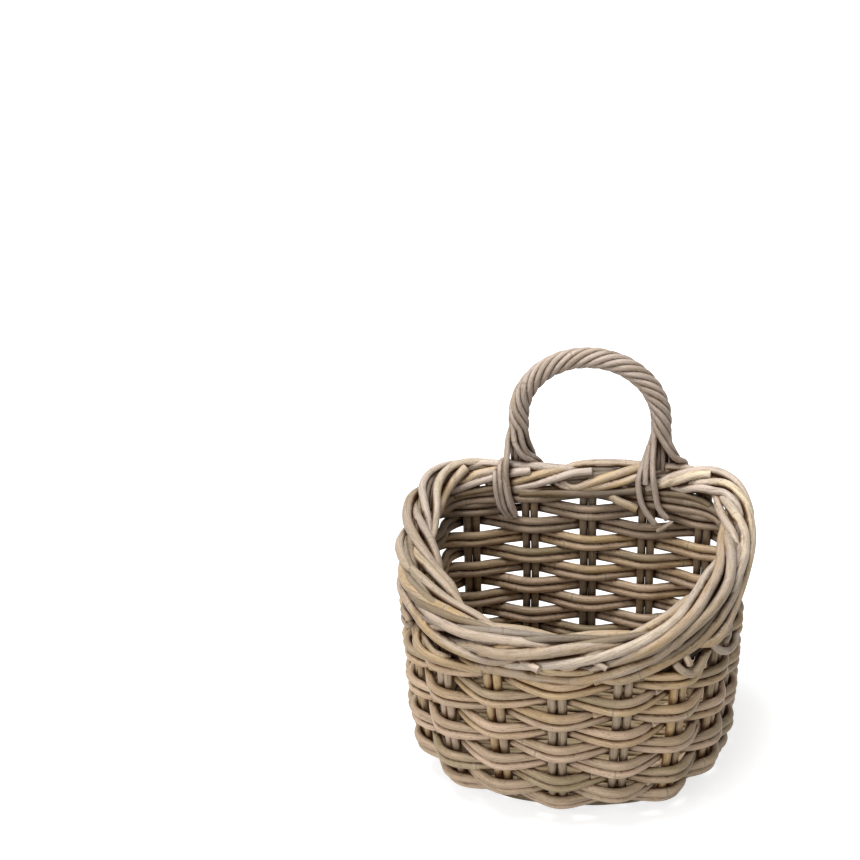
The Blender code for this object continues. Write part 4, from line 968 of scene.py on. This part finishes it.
def seen_share(tree):
    """One for rays from the camera, in reflections or through glass, and zero for all other light."""
    path = add(tree, "ShaderNodeLightPath")
    seen = path.outputs["Is Camera Ray"]
    for kind in ("Is Glossy Ray", "Is Transmission Ray"):
        seen = calculate(tree, "MAXIMUM", seen, path.outputs[kind])
    return seen


def pale_material():
    """A pale floor that glows to the camera alone: less near the basket, fully 0.7 m away."""
    material, tree, shader = new_material("pale floor")
    shader.inputs["Base Color"].default_value = (FLOOR_GREY, FLOOR_GREY, FLOOR_GREY, 1)
    shader.inputs["Roughness"].default_value = 0.9
    shader.inputs["Specular IOR Level"].default_value = 0.1
    place = add(tree, "ShaderNodeTexCoord").outputs["Object"]
    away = add(tree, "ShaderNodeVectorMath", {"operation": "LENGTH"}, i0=place).outputs["Value"]
    glow = calculate(tree, "MULTIPLY", fit(tree, away, 0.2, 0.7, 0.72, 1.0), seen_share(tree))
    shader.inputs["Emission Color"].default_value = (1, 1, 1, 1)
    tree.links.new(glow, shader.inputs["Emission Strength"])
    return material


def make_floor():
    """A square floor at height zero, wide enough to fill the camera's view."""
    corners = [(x * FLOOR_HALF, y * FLOOR_HALF, 0) for x, y in ((-1, -1), (1, -1), (1, 1), (-1, 1))]
    mesh = bpy.data.meshes.new("floor")
    mesh.from_pydata(corners, [], [(0, 1, 2, 3)])
    mesh.materials.append(pale_material())
    floor = bpy.data.objects.new("floor", mesh)
    bpy.context.scene.collection.objects.link(floor)


def make_sky(strength):
    """A white sky for the camera and for reflections, and a softer one as light."""
    world = bpy.data.worlds.new("sky")
    bpy.context.scene.world = world
    world.use_nodes = True
    tree = world.node_tree
    background = tree.nodes["Background"]
    background.inputs["Color"].default_value = (1, 1, 1, 1)
    tree.links.new(fit(tree, seen_share(tree), 0, 1, strength, 1.0), background.inputs["Strength"])


def make_lamp(name, place, size, power):
    """A square lamp that faces the middle of the basket."""
    light = bpy.data.lights.new(name, "AREA")
    light.size, light.energy = size, power
    lamp = bpy.data.objects.new(name, light)
    bpy.context.scene.collection.objects.link(lamp)
    lamp.location = place
    lamp.rotation_euler = (Vector((0, 0, 0.12)) - Vector(place)).to_track_quat("-Z", "Y").to_euler()


make_floor()
make_sky(0.33)
make_lamp("key lamp", (-0.40, -0.25, 2.1), 1.1, 47)
make_lamp("fill lamp", (-0.80, -1.7, 0.9), 1.2, 21)
bpy.context.scene.view_settings.view_transform = "Standard"
print("lamps:", len(bpy.data.lights))

# %% [markdown]
# The camera stands where the photograph was taken from: about 27 degrees above the basket, a
# little to its right, with a long lens. Its place and turns were found by fitting the rim, the
# rows, the stakes and the loop.

# %% Camera
CAMERA_PLACE = Vector((0.1196, -1.2676, 0.7853))
YAW, PITCH, ROLL = 0.18, 0.384, -0.023
FOCAL_PIXELS, FRAME_PIXELS, SENSOR = 1837.3, 860, 36.0


def make_camera():
    """A camera whose right, up and backward directions are the columns of its matrix."""
    level = Vector((-math.sin(YAW), math.cos(YAW), 0))
    right, up = Vector((math.cos(YAW), math.sin(YAW), 0)), Vector((0, 0, 1))
    ahead = level * math.cos(PITCH) - up * math.sin(PITCH)
    above = level * math.sin(PITCH) + up * math.cos(PITCH)
    turned = right * math.cos(ROLL) + above * math.sin(ROLL)
    above = above * math.cos(ROLL) - right * math.sin(ROLL)
    data = bpy.data.cameras.new("camera")
    data.sensor_width = SENSOR
    data.lens = FOCAL_PIXELS / FRAME_PIXELS * SENSOR
    camera = bpy.data.objects.new("camera", data)
    bpy.context.scene.collection.objects.link(camera)
    turn = Matrix((turned, above, -ahead)).transposed().to_4x4()
    camera.matrix_world = Matrix.Translation(CAMERA_PLACE) @ turn
    bpy.context.scene.camera = camera
    print("lens in mm:", round(data.lens, 1))


make_camera()
